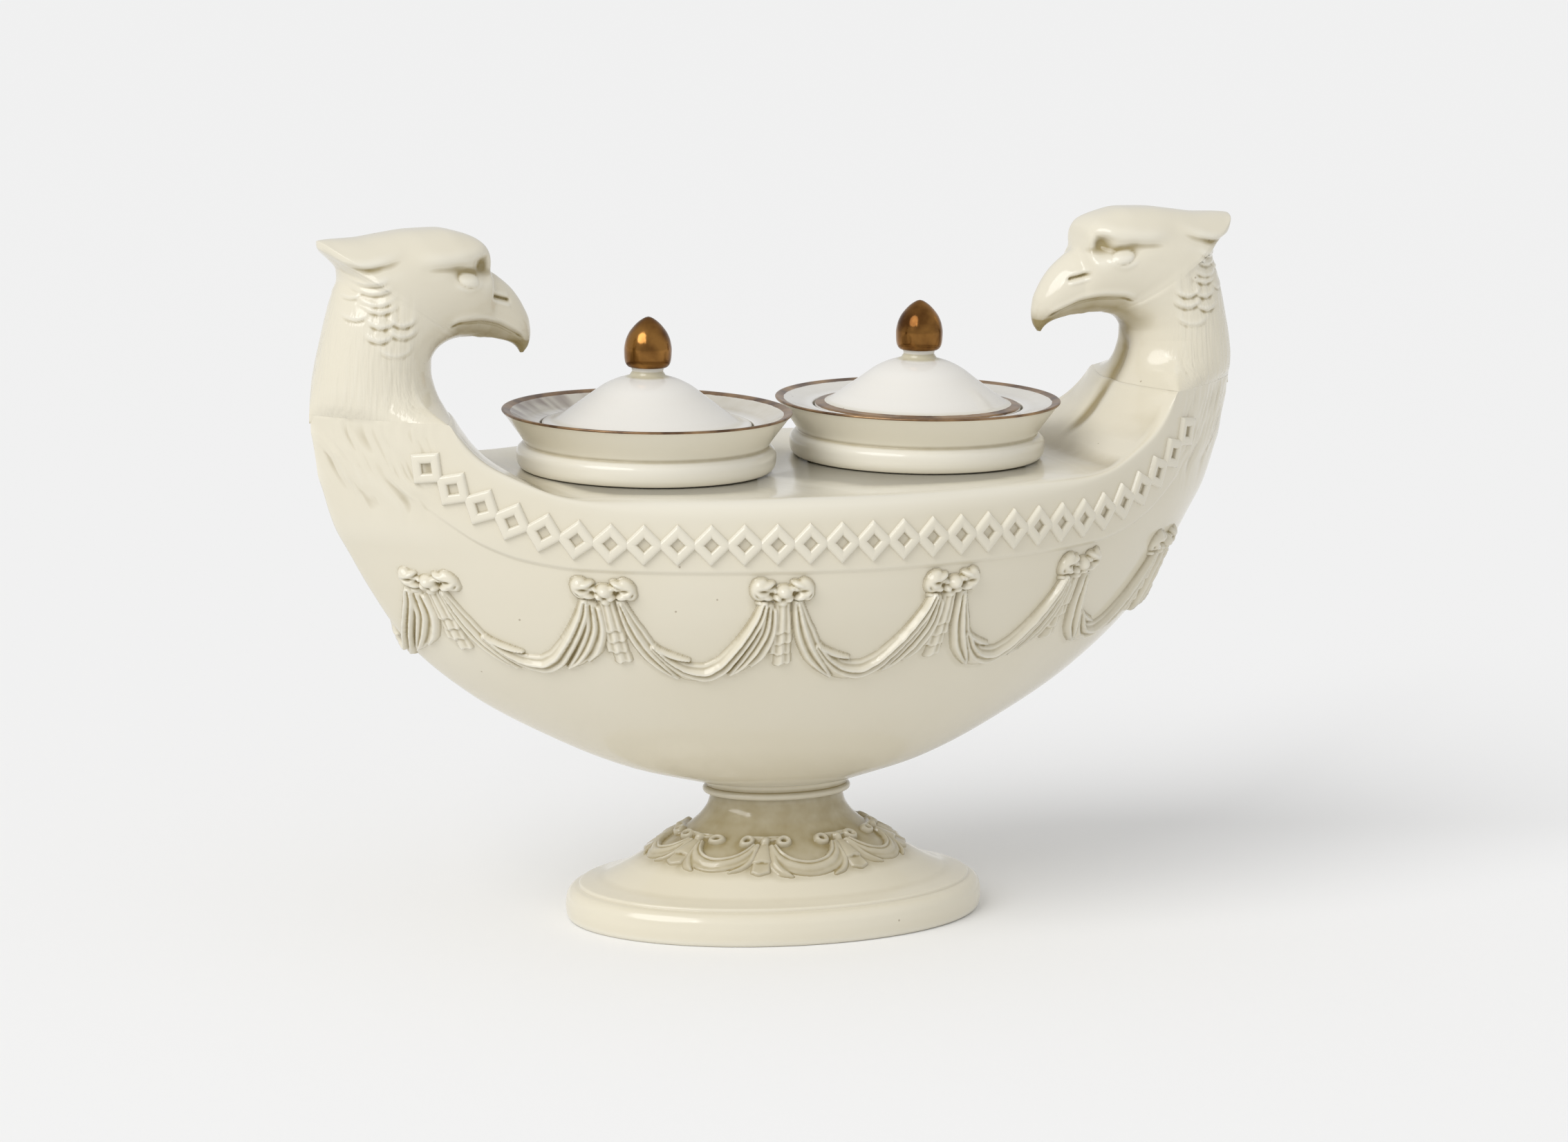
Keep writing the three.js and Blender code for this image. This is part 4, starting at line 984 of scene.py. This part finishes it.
# Eagle heads: ribs from throat and jaw (front) to neck, crown and beak (back)
eagleShape = {
    # back x, back z, front x, front z, half width, front fullness, back fullness
    "ribs": [
        [139.95, 149.0, 101.6, 149.0, 16.2, 0.5, 0.5],
        [139.75, 151.0, 102.7, 151.0, 16.1, 0.5, 0.5],
        [139.3, 153.6, 103.9, 153.4, 16.0, 0.5, 0.5],
        [138.7, 157.2, 105.0, 156.6, 15.9, 0.5, 0.5],
        [137.8, 162.0, 105.8, 160.2, 15.7, 0.5, 0.5],
        [136.4, 168.3, 105.9, 163.2, 15.5, 0.5, 0.5],
        [134.7, 175.6, 104.8, 165.5, 15.4, 0.5, 0.5],
        [133.0, 181.6, 102.9, 167.1, 15.3, 0.5, 0.5],
        [131.7, 185.6, 101.2, 167.9, 15.2, 0.5, 0.5],
        [132.2, 188.4, 100.2, 168.2, 15.2, 0.5, 0.52],
        [134.9, 191.6, 99.4, 168.4, 15.2, 0.5, 0.56],
        [137.8, 194.6, 98.8, 168.5, 15.2, 0.5, 0.58],
        [137.9, 196.2, 98.3, 168.6, 15.2, 0.5, 0.58],
        [134.6, 196.7, 97.8, 168.7, 15.1, 0.49, 0.52],
        [127.6, 196.9, 97.2, 168.8, 15.0, 0.48, 0.44],
        [119.6, 197.9, 96.4, 168.8, 14.7, 0.47, 0.40],
        [111.6, 198.8, 95.4, 168.8, 14.3, 0.46, 0.37],
        [104.0, 198.95, 94.4, 168.8, 13.7, 0.46, 0.36],
        [97.7, 197.8, 93.9, 168.8, 12.9, 0.46, 0.36],
        [92.9, 195.9, 93.0, 168.7, 11.7, 0.46, 0.38],
        [90.5, 193.4, 92.1, 168.5, 10.5, 0.46, 0.41],
        [89.9, 191.0, 91.2, 168.4, 9.6, 0.46, 0.44],
        [89.6, 188.9, 90.3, 168.4, 8.9, 0.46, 0.47],
        [89.0, 187.2, 89.3, 168.3, 8.3, 0.46, 0.5],
        [86.6, 185.5, 88.0, 168.2, 7.8, 0.46, 0.51],
        [82.3, 181.9, 86.1, 167.8, 6.9, 0.46, 0.53],
        [78.9, 177.2, 84.0, 167.3, 5.8, 0.46, 0.54],
        [76.9, 172.8, 82.3, 166.7, 4.4, 0.46, 0.54],
        [76.4, 169.2, 80.9, 165.9, 3.1, 0.46, 0.54],
        [76.9, 166.1, 79.9, 164.9, 2.0, 0.5, 0.5],
        [78.2, 163.9, 79.2, 163.75, 0.8, 0.5, 0.5],
    ],
    "ribCount": 380, "sideCount": 112,
    # how far a rib at each height has turned from the prow's plan to the round neck
    "roundingAt": [149, 150.5, 153, 157, 162],
    "roundingShares": [0, 0.3, 0.68, 0.92, 1],
    "cornerReach": 110.0, "cornerShare": 0.40,
    # lines drawn on the side of the head, as height over distance from the boat's centre
    "browAt": [89.3, 94, 99.7, 107, 114],
    "browHeights": [193.4, 191.8, 190.6, 189.9, 189.9],
    "cheekAt": [90, 93.8, 98.6, 103, 108, 115],
    "cheekHeights": [187.2, 185.2, 183.1, 184.6, 186.4, 188.2],
    "lipAt": [113, 118.5, 123, 128, 133, 139],
    "lipHeights": [193.8, 192.4, 191.2, 190.4, 191.2, 196.2],
    "mouthAt": [78.6, 80.5, 84.4, 88.9, 95.3, 100, 103],
    "mouthHeights": [167.4, 168.8, 170.9, 173, 174.2, 174, 173.1],
    "nostrilAt": [84.6, 88, 91.4],
    "nostrilHeights": [179.1, 180.1, 181.2],
    # relief along a line: its height, distance under the line, half width, and from where to where
    "creases": [
        ("brow", 1.2, -2.6, 2.4, (87.5, 91, 106, 117)), ("brow", -0.4, 0.9, 1.3, (99, 103, 107, 114)),
        ("cheek", 0.3, -0.1, 0.9, (94, 96, 101, 104)), ("nostril", -1.3, 0, 0.6, (84.2, 85.6, 89.4, 90.8)),
        ("nostril", 0.4, -1.6, 0.9, (84.2, 85.6, 89.4, 90.8)),
        ("nostril", 0.35, 1.3, 0.7, (84.2, 85.6, 89.4, 90.8)),
        ("mouth", -0.95, 0, 0.5, (78.8, 81.5, 101.5, 104.5)),
        ("mouth", 0.3, -1.4, 0.9, (78.8, 81.5, 101.5, 104.5)),
    ],
    # middle x, middle z, half width, half height and depth of the soft hollows round the eye
    "sockets": [(93.6, 189.3, 2.5, 2.7, 2.9), (98.6, 187.8, 5.2, 2.3, 1.7), (92.6, 186.4, 2.2, 2.0, 0.9)],
    # the brow's front end is a knob that overhangs the beak's root: the same, with heights
    "knobs": [(89.6, 192.0, 2.4, 2.3, 0.9), (89.8, 187.4, 2.2, 1.5, -1.1)],
    # eyeball: an egg tilted up towards the back, half under the brow
    "eye": (98.8, 186.0, 3.2, 2.0, 1.15), "eyeTilt": (0.96, 0.27),
    # middle x, middle z, half width and sag of each feather tip
    "feathers": [
        (126.8, 187.2, 4.3, 1.5), (126.0, 184.9, 4.4, 1.6), (125.3, 181.9, 4.5, 1.6),
        (124.6, 179.9, 4.3, 1.5), (118.4, 176.4, 3.8, 1.6), (124.3, 176.0, 3.7, 1.5),
        (118.4, 173.4, 4.1, 1.7), (125.0, 172.2, 3.6, 1.5), (120.3, 168.3, 4.6, 1.9),
        (130.6, 177.6, 3.0, 1.3), (131.0, 183.2, 2.6, 1.3),
    ],
    "featherHeight": 0.62, "featherSharp": 0.42, "featherFade": 0.7,
}
headLines = {
    name: smoothCurve(eagleShape[f"{name}At"], eagleShape[f"{name}Heights"])
    for name in ("brow", "cheek", "lip", "mouth", "nostril")
}


def carveHead(x, z):
    # how far the side of the head stands out (+) or is cut in (-), seen from the side
    s = eagleShape
    under = {name: line(x) - z for name, line in headLines.items()}
    carved = -sum(d * bell(x, cx, rx) * bell(z, cz, rz) for cx, cz, rx, rz, d in s["sockets"])
    carved = carved * ease(under["brow"], -1.6, 0.9)
    for line, height, lower, half, span in s["creases"]:
        carved += height * bell(under[line], lower, half) * window(x, *span)
    for cx, cz, rx, rz, height in s["knobs"]:
        carved += height * bell(x, cx, rx) * bell(z, cz, rz)
    (cx, cz, rx, rz, height), (c, t) = s["eye"], s["eyeTilt"]
    u, v = (x - cx) * c + (z - cz) * t, (z - cz) * c - (x - cx) * t
    carved += height * np.clip(1 - (u / rx) ** 2 - (v / rz) ** 2, 0, 1) ** 0.7
    # the lower jaw lies in from the upper, and the crest's lip overhangs the nape
    carved += -0.85 * ease(under["mouth"], 0.1, 0.8) * window(x, 80.5, 84, 97, 104)
    lip = under["lip"]
    flare = 1.3 * (0.35 + 0.65 * ease(x, 122, 131))
    carved += (0.8 * bell(lip, -1.2, 1.6) - flare * window(lip, -0.4, 1.0, 1.2, 5.0)) * ease(x, 115, 125)
    for cx, cz, half, sag in s["feathers"]:
        u = (x - cx) / half
        line = (z - cz) / sag + 1 - u**2
        below = np.exp(-((np.minimum(line, 0) / s["featherSharp"]) ** 2))
        tip = np.where(line > 0, np.exp(-np.maximum(line, 0) / s["featherFade"]), below)
        edge = s["featherHeight"] * tip - 0.25 * bell(line, -0.75, 0.4)
        carved += edge * np.exp(-((np.abs(u) / 0.9) ** 4))
    return carved


def poolAndShadeHead(points):
    # glaze lies thick, and shade is painted, under the jaw, down the throat, at the beak's tip, in the socket
    # and along the mouth
    x, y, z = np.abs(points[:, 0]), np.abs(points[:, 1]), points[:, 2]
    mouth = headLines["mouth"](x) - z
    jaw = 0.5 * bell(z, 167.0, 3.6) * window(x, 84, 92, 104, 113)
    throat = (0.9 * bell(y, 0, 3.2) + 0.3 * bell(y, 0, 7.0)) * (1 - ease(x, 104, 113))
    throat = throat * (1 - ease(z, 163, 170))
    beak = 0.45 * (1 - ease(z, 164, 174)) * (1 - ease(x, 79, 85))
    mandible = 0.55 * window(mouth, -0.3, 0.6, 3, 7) * (1 - ease(x, 100, 106))
    socket = 0.5 * bell(x, 94.0, 2.8) * bell(z, 188.8, 2.8)
    return jaw + throat + beak + mandible + socket


def prowPlan(t):
    # plan of the neck's foot: front curve out to the corner, then along the prow's wall to the stem
    s = eagleShape
    corner, cornerX, throatX = s["cornerShare"], s["cornerReach"], s["ribs"][0][2]
    cornerY = hullSide(cornerX, seam)
    w = np.clip(t / corner, 0, 1)
    frontX = throatX + (cornerX - throatX) * w ** rowPower(cornerX) + throatGroove(w * cornerY)
    back = np.clip((t - corner) / (1 - corner), 0, 1)
    wallX = cornerX + (reach - cornerX) * np.sin(back * np.pi / 2)
    x = np.where(t < corner, frontX, wallX)
    y = np.where(t < corner, w * cornerY, hullSide(wallX, seam))
    return (x - throatX) / (reach - throatX), y


def makeEagle(side, sign):
    s = eagleShape
    table = np.array(s["ribs"])
    at = np.linspace(0, 1, s["ribCount"]) * (len(table) - 1)
    columns = [smoothCurve(np.arange(len(table)), column)(at) for column in table.T]
    bx, bz, fx, fz, width, frontFull, backFull = [c[:, None] for c in columns]
    t = np.linspace(0, 1, s["sideCount"] + 1)[None, :]
    # head section: a rounded lens between the front and back outlines
    angle = np.pi * t
    u = (1 - np.cos(angle - 0.15 * np.sin(2 * angle))) / 2
    peak = frontFull / (frontFull + backFull)
    half = width * u**frontFull * (1 - u) ** backFull / (peak**frontFull * (1 - peak) ** backFull)
    # near the seam the section turns into the prow's plan
    prowU, prowHalf = prowPlan(t)
    rounding = smoothCurve(s["roundingAt"], s["roundingShares"])((bz + fz) / 2)
    u = prowU * (1 - rounding) + u * rounding
    half = prowHalf * (1 - rounding) + half * rounding
    x, z = fx + (bx - fx) * u, fz + (bz - fz) * u
    sideMask = ease(half, 1.2, 5.0)
    carved = carveHead(x, z) * sideMask * ease(z, 164, 168)
    hollow = throatGroove(half) * (t < s["cornerShare"]) * (1 - ease(z, 158, 164))
    strands = 0.12 * (1 - 2 * np.abs(grain((x + 0.12 * z) / 1.5, z / 22, 21)))
    neckZone = ease(x, 111, 120) * window(z, 149.5, 152, 178, 186)
    half = np.maximum(0, half + carved + strands * neckZone * sideMask)
    x = x + hollow * rounding * 1.2
    near, far = np.stack([x, -half, z], -1), np.stack([x, half, z], -1)[:, -2:0:-1]
    rings = np.concatenate([near, far], axis=1)
    # the lowest ring is drawn in a little, so that no gap shows at the seam
    foot = rings[:1] + (rings[:1].mean(1, keepdims=True) - rings[:1]) * [0.08, 0.08, 0] + [0, 0, -0.05]
    rings = np.concatenate([foot, rings])
    rings[..., 0] *= sign
    clay = Clay()
    clay.addStack(rings, poolAndShadeHead(rings.reshape(-1, 3)))
    clay.masks["hatch"] = lambda p: ease(np.abs(p[:, 0]), 110, 120) * (1 - ease(p[:, 2], 172, 186))
    clay.calm = lambda p: ease(p[:, 2] - seam, *hullShape["calmUnder"])
    nodes = [f"{side}_eagle"]
    return makePiece(f"{side}_eagle_head", clay, "stand", nodes, neckGlaze, 9, 0.28)


makeEagle("left", -1)
makeEagle("right", 1)
print("eagles made")


# Turned pieces: a profile of radius and height, carried round an upright axis
def filleted(points, radii, steps=6):
    # polyline whose corners are rounded by quadratic arcs of the given reach
    points = np.array(points, float)
    line = [points[:1]]
    t = np.linspace(0, 1, steps)[:, None]
    for i in range(1, len(points) - 1):
        here = points[i]
        ends = []
        for other in (points[i - 1], points[i + 1]):
            distance = np.linalg.norm(other - here)
            ends.append(here + (other - here) / max(distance, 1e-9) * min(radii[i], distance * 0.48))
        line.append((1 - t) ** 2 * ends[0] + 2 * t * (1 - t) * here + t**2 * ends[1])
    line.append(points[-1:])
    return np.vstack(line)


def refined(line, step):
    # adds points so that no stretch of the profile is longer than step
    run = lengthAlong(line)
    at = np.unique(np.concatenate([run, np.arange(0, run[-1], step)]))
    return np.column_stack([np.interp(at, run, line[:, 0]), np.interp(at, run, line[:, 1])])


def turnedClay(profile, x, base, sides=144, stain=None):
    angles = evenTurns(sides)[None, :]
    r, z = profile[:, :1], profile[:, 1:]
    clay = Clay()
    stains = 0.0 if stain is None else stain(z) + 0 * angles
    clay.addGrid(oval(angles, r, r, base + z) + [x, 0, 0], stain=stains)
    return clay


potShape = {
    "rim": 40.7, "height": 16.8, "waist": 34.0, "ring": 36.2, "ringHeight": 7.4, "body": 30.6, "drop": 12,
    "floor": 3.6, "mouth": 25.8, "ledge": 29.8, "step": 1.8, "gap": 0.3, "giltWidth": 2.6,
    # the flare's outer skin leans out by flareLean for each mm over flareFrom
    "flareLean": 0.73, "flareFrom": 8.8, "whiteFrom": (8.2, 9.0), "inkFrom": (9.5, 11), "ringWhite": 0.75,
    "ringStain": 0.7, "ringStainHalf": 0.6,
}
lidShape = {
    "radius": 29.2, "edge": 1.8, "thickness": 2.6, "rise": 13.2, "neck": 4.6, "neckHeight": 2.4, "band": 2.7,
    "domeAt": [0, 2.6, 7.0, 12.3, 17.1, 21.0, 23.4, 24.2],
    "domeHeights": [0, 0.4, 3.1, 6.9, 10.4, 12.2, 12.9, 13.2],
    "margin": 0.4, "outerRows": 46, "innerFrom": 4, "innerTo": 30, "neckStain": 0.3,
    # outwards from the neck's radius and up from the shoulder
    "neckSteps": [(0.15, 0.5), (-0.25, 1.1), (-0.1, 1.8), (0.1, 2.3), (-0.3, 2.4)],
}
knobShape = {
    "radius": 6.65, "height": 14.0, "sunk": 0.3, "sides": 96, "rows": 60,
    "heightShares": [0, 0.03, 0.1, 0.2, 0.34, 0.5, 0.66, 0.8, 0.9, 0.96, 0.985, 1],
    "radiusShares": [0.82, 0.89, 0.96, 0.99, 1, 0.95, 0.82, 0.61, 0.40, 0.22, 0.12, 0.0],
}


def potProfile(seat):
    s = potShape
    body, ring, waist = s["body"], s["ring"], s["waist"]
    rim, ledge, mouth = s["rim"], s["ledge"], s["mouth"]
    top, ringTop, low = s["height"], s["ringHeight"], -s["drop"]
    seatZ, floor = top - seat, low + s["floor"]
    corners = np.array([  # radius, height, rounding
        (0, low, 0), (body - 1.2, low, 0.8), (body, low + 1.2, 0.8), (body, s["gap"], 0.3),
        (ring - 1.2, s["gap"], 0.8), (ring, 2.0, 2.2), (ring + 0.1, ringTop - 1.9, 1.4),
        (ring - 1.2, ringTop - 0.6, 0.7), (waist + 0.1, ringTop - 0.1, 0.25),
        (waist + 0.9, ringTop + 1.4, 2.5), (rim - 0.9, top - 1.3, 1.0), (rim, top - 0.5, 0.6),
        (rim - 0.5, top, 0.6), (rim - 2.0, top - 0.5, 1.2),
        (ledge + 2.6, seatZ + s["step"] + 0.1, 1.5), (ledge, seatZ + s["step"], 0.5), (ledge, seatZ, 0.5),
        (mouth, seatZ, 0.6), (mouth, floor + 2.2, 1.5), (mouth - 2.2, floor, 1.5), (0, floor, 0),
    ])
    return refined(filleted(corners[:, :2], corners[:, 2]), 0.5)


def lidProfile():
    s = lidShape
    shoulder, radius = s["edge"] + s["rise"], s["radius"]
    inwards = np.linspace(s["margin"], radius - s["neck"] - s["margin"], s["outerRows"])
    height = s["edge"] + smoothCurve(s["domeAt"], s["domeHeights"])(inwards)
    outer = np.column_stack([radius - inwards, height])
    inner = (outer[s["innerFrom"]:s["innerTo"]] - s["thickness"])[::-1]
    neck = [(s["neck"] + out, shoulder + up) for out, up in s["neckSteps"]]
    neck.append((0, shoulder + s["neckHeight"]))
    rim = [(radius - 6.0, 0.0), (radius - 0.4, 0.0), (radius, 0.4), (radius, s["edge"] - 0.3)]
    return np.vstack([[(0, inner[0, 1])], inner, rim, outer, neck])


def knobProfile():
    # flat-footed egg: widest a third of the way up, drawn to a small tip
    s = knobShape
    up = np.linspace(0, 1, s["rows"])
    radius = s["radius"] * smoothCurve(s["heightShares"], s["radiusShares"])(up)
    return np.vstack([[(0, 0)], np.column_stack([radius, s["height"] * up])])


def makePot(side, sign, seat, banded, inky):
    x = sign * potX
    s = potShape
    rimZ = deckTop + s["height"]

    def radiusOf(points):
        return np.hypot(points[:, 0] - x, points[:, 1])

    def innerSide(points):
        flare = s["waist"] + s["flareLean"] * (points[:, 2] - deckTop - s["flareFrom"])
        return radiusOf(points) < flare

    def inkMask(points):
        # old ink runs down the inside of the flare, thickest on the outer side, with a painted shadow and
        # reflection of the gilt rim
        z = points[:, 2]
        low, high = s["inkFrom"]
        turn = np.arctan2(points[:, 1], (points[:, 0] - x) * sign)
        drip = grain(turn * 9 + 40, z / 2.5, 41) + 0.6 * grain(turn * 23 + 40, z / 4, 42)
        wet = ease(np.cos(turn - 0.25), 0.0, 0.8) * ease(drip, -0.5, 0.9)
        return inky * innerSide(points) * ease(z, deckTop + low, deckTop + high) * wet

    def rimMask(points):
        inwards = s["rim"] - radiusOf(points)
        onTop = points[:, 2] > rimZ - 0.75 - 0.25 * np.maximum(inwards, 0)
        return onTop * np.clip(0.5 + np.minimum(inwards + 0.3, s["giltWidth"] - inwards) * 0.6, 0, 1)

    def whiteMask(points):
        # whiter glaze inside the pot and on its foot ring
        low, high = s["whiteFrom"]
        inside = innerSide(points) * ease(points[:, 2], deckTop + low, deckTop + high)
        return np.maximum(inside, s["ringWhite"] * (points[:, 2] < deckTop + s["ringHeight"] - 0.4))

    def ringStain(z):
        return s["ringStain"] * bell(z, s["ringHeight"], s["ringStainHalf"])

    clay = turnedClay(potProfile(seat), x, deckTop, stain=ringStain)
    clay.masks.update(gilt=rimMask, white=whiteMask, ink=inkMask)
    makePiece(f"{side}_pot_piece", clay, f"{side}_pot", [f"{side}_ink_pot"], potGlaze, 8, 0.12)
    lidBase = nodeBox(f"{side}_lid")[0][2]
    neckZ = lidShape["edge"] + lidShape["rise"] + 1.2
    clay = turnedClay(lidProfile(), x, lidBase, stain=lambda z: lidShape["neckStain"] * bell(z, neckZ, 1.0))

    def lidMask(points):
        inwards = lidShape["radius"] - radiusOf(points)
        band = np.clip(0.5 + np.minimum(inwards, lidShape["band"] - inwards) * 0.7, 0, 1)
        return band * banded * (points[:, 2] > lidBase + lidShape["edge"] - 0.6)

    clay.masks["gilt"] = lidMask
    cover, knobNode = f"{side}_cover", f"{side}_lid_knob"
    makePiece(f"{side}_lid_piece", clay, cover, [f"{side}_lid"], lidGlaze, 8, 0.15)
    knobBase = nodeBox(knobNode)[0][2] - knobShape["sunk"]
    clay = turnedClay(knobProfile(), x, knobBase, knobShape["sides"])
    clay.masks["gilt"] = lambda points: np.full(len(points), 0.9)
    makePiece(f"{side}_knob_piece", clay, cover, [knobNode], goldGlaze, 4, 0.5)


makePot("left", -1, 5.7, 0.0, 0.75)
makePot("right", 1, 3.9, 1.0, 0.0)
print("pots and lids made")


def makeFoot():
    s = footShape
    turns = evenTurns(s["sides"])[None, :]
    rimEnd, edgeStart = s["edgeFrom"]
    rim = np.linspace(0, rimEnd, s["rimRows"])
    rim = np.concatenate([rim, np.linspace(edgeStart, s["rim"], s["edgeRows"])])
    slope = s["rim"] + (s["top"] - s["rim"]) * np.linspace(0, 1, s["slopeRows"])[1:]
    z = np.concatenate([rim, slope])[:, None]
    outer = footPoint(turns, z + 0 * turns)
    # the hollow follows the outside, a wall further in
    level = np.linspace(0, 1, s["hollowRows"])[:, None]
    a, b = footHalves(np.maximum(s["hollowTop"] * level, s["rim"]) + s["roof"] * level)
    wall = s["roof"] - s["thinning"] * (1 - level)
    inner = oval(turns, a - wall, b - wall, s["hollowTop"] * level)
    # pooled glaze with painted shade round the sprigs, and painted shadow of the hull up the slope
    stain = footHalo.read(turns + 0 * z, z + 0 * turns) * s["haloPoolAndShade"] * ease(z, *s["haloAt"])
    stain += s["slopePoolAndShadow"] * ease(z, *s["slopeAt"])
    stain += s["grooveStain"] * bell(z, s["grooveZ"], s["grooveHalf"])
    clay = Clay()
    clay.addGrid(outer[::-1], stain=stain[::-1])
    clay.addGrid(inner)
    clay.addGrid(np.stack([outer[0], inner[0]]))
    clay.addFan(outer[-1])
    clay.addFan(inner[-1][::-1])
    return makePiece("foot_piece", clay, "stand", ["foot"], creamGlaze, 12, 0.9)


collarShape = {
    "halfLength": 21.8, "halfWidth": 15.5, "rows": 48, "sides": 160,
    "heights": [35.0, 35.3, 35.7, 36.2, 36.7, 37.05, 37.3, 37.7, 38.4, 39.1, 39.7, 40.4],
    "proud": [-1.6, -0.55, -0.1, 0.05, -0.1, -0.5, -0.95, -0.85, -0.55, -0.35, 0.2, 1.6],
    # the whole collar is darkened, pooled glaze with painted shade under the hull, and more in its groove
    "stain": 0.28, "grooveStain": 0.35, "grooveZ": 37.5, "grooveHalf": 0.6,
}


def makeCollar():
    s = collarShape
    z = np.linspace(s["heights"][0], s["heights"][-1], s["rows"])[:, None]
    turns = evenTurns(s["sides"])[None, :]
    proud = smoothCurve(s["heights"], s["proud"])(z)
    clay = Clay()
    # painted shade under the hull and pooled glaze, more in the groove
    stain = s["stain"] + s["grooveStain"] * bell(z, s["grooveZ"], s["grooveHalf"]) + 0 * turns
    clay.addStack(oval(turns, s["halfLength"] + proud, s["halfWidth"] + proud, z), stain)
    return makePiece("foot_collar_piece", clay, "stand", ["foot_collar"], creamGlaze, 5, 0.12)


makeFoot()
makeCollar()
print("foot made")


studio = {
    "floor": 0.91, "floorHalf": 30.0, "ambient": 0.66,
    "key": 1.5, "keyFrom": (-0.69, -0.36, 0.63), "keySpread": 40,
    "window": 0.6, "windowFrom": (-0.75, -0.95, 0.85), "windowSize": (0.09, 0.36),
    "aim": (0.0, 0.0, 0.10),
}


def makeFloor():
    mesh = bpy.data.meshes.new("floor")
    w = studio["floorHalf"]
    mesh.from_pydata([(-w, -w, 0), (w, -w, 0), (w, w, 0), (-w, w, 0)], [], [(0, 1, 2, 3)])
    floor = bpy.data.objects.new("floor", mesh)
    bpy.context.scene.collection.objects.link(floor)
    material = bpy.data.materials.new("floor_paper")
    material.use_nodes = True
    shader = material.node_tree.nodes["Principled BSDF"]
    shader.inputs["Base Color"].default_value = (studio["floor"],) * 3 + (1,)
    shader.inputs["Roughness"].default_value = 1.0
    shader.inputs["Specular IOR Level"].default_value = 0.0
    mesh.materials.append(material)


def makeWorld():
    world = bpy.data.worlds.new("studio")
    bpy.context.scene.world = world
    world.use_nodes = True
    shade = world.node_tree.nodes["Background"]
    shade.inputs[0].default_value = (1, 1, 1, 1)
    shade.inputs[1].default_value = studio["ambient"]


def hang(name, lamp, place, aim):
    holder = bpy.data.objects.new(name, lamp)
    holder.location = place
    holder.rotation_mode = "QUATERNION"
    holder.rotation_quaternion = (Vector(aim) - Vector(place)).to_track_quat("-Z", "Y")
    bpy.context.scene.collection.objects.link(holder)


def makeLights():
    key = bpy.data.lights.new("key", "SUN")
    key.energy = studio["key"]
    key.angle = math.radians(studio["keySpread"])
    hang("key", key, studio["keyFrom"], (0, 0, 0))
    glow = bpy.data.lights.new("window", "AREA")
    glow.shape = "RECTANGLE"
    glow.size, glow.size_y = studio["windowSize"]
    glow.energy = studio["window"]
    hang("window", glow, studio["windowFrom"], studio["aim"])


viewShape = {
    "turn": 23.0, "rise": 10.124, "distance": 1615.7, "targetHeight": 105.0, "focal": 8276.1,
    "frameWidth": 2268, "shiftX": -4.24, "shiftY": -34.09, "roll": -1.082, "sensor": 36.0,
}


def makeCamera():
    v = viewShape
    turn, rise = math.radians(v["turn"]), math.radians(v["rise"])
    back = Vector((-math.sin(turn) * math.cos(rise), -math.cos(turn) * math.cos(rise), math.sin(rise)))
    lens = bpy.data.cameras.new("view")
    lens.sensor_width = v["sensor"]
    lens.lens = v["focal"] / v["frameWidth"] * lens.sensor_width
    lens.shift_x = -v["shiftX"] / v["frameWidth"]
    lens.shift_y = v["shiftY"] / v["frameWidth"]
    camera = bpy.data.objects.new("view", lens)
    camera.location = (Vector((0, 0, v["targetHeight"])) + back * v["distance"]) * mm
    camera.rotation_mode = "QUATERNION"
    facing = (-back).to_track_quat("-Z", "Y")
    camera.rotation_quaternion = facing @ Matrix.Rotation(math.radians(-v["roll"]), 3, "Z").to_quaternion()
    bpy.context.scene.collection.objects.link(camera)
    bpy.context.scene.camera = camera
    bpy.context.view_layer.update()


makeFloor()
makeWorld()
makeLights()
makeCamera()
bpy.context.scene.view_settings.view_transform = "Standard"
print("studio made")
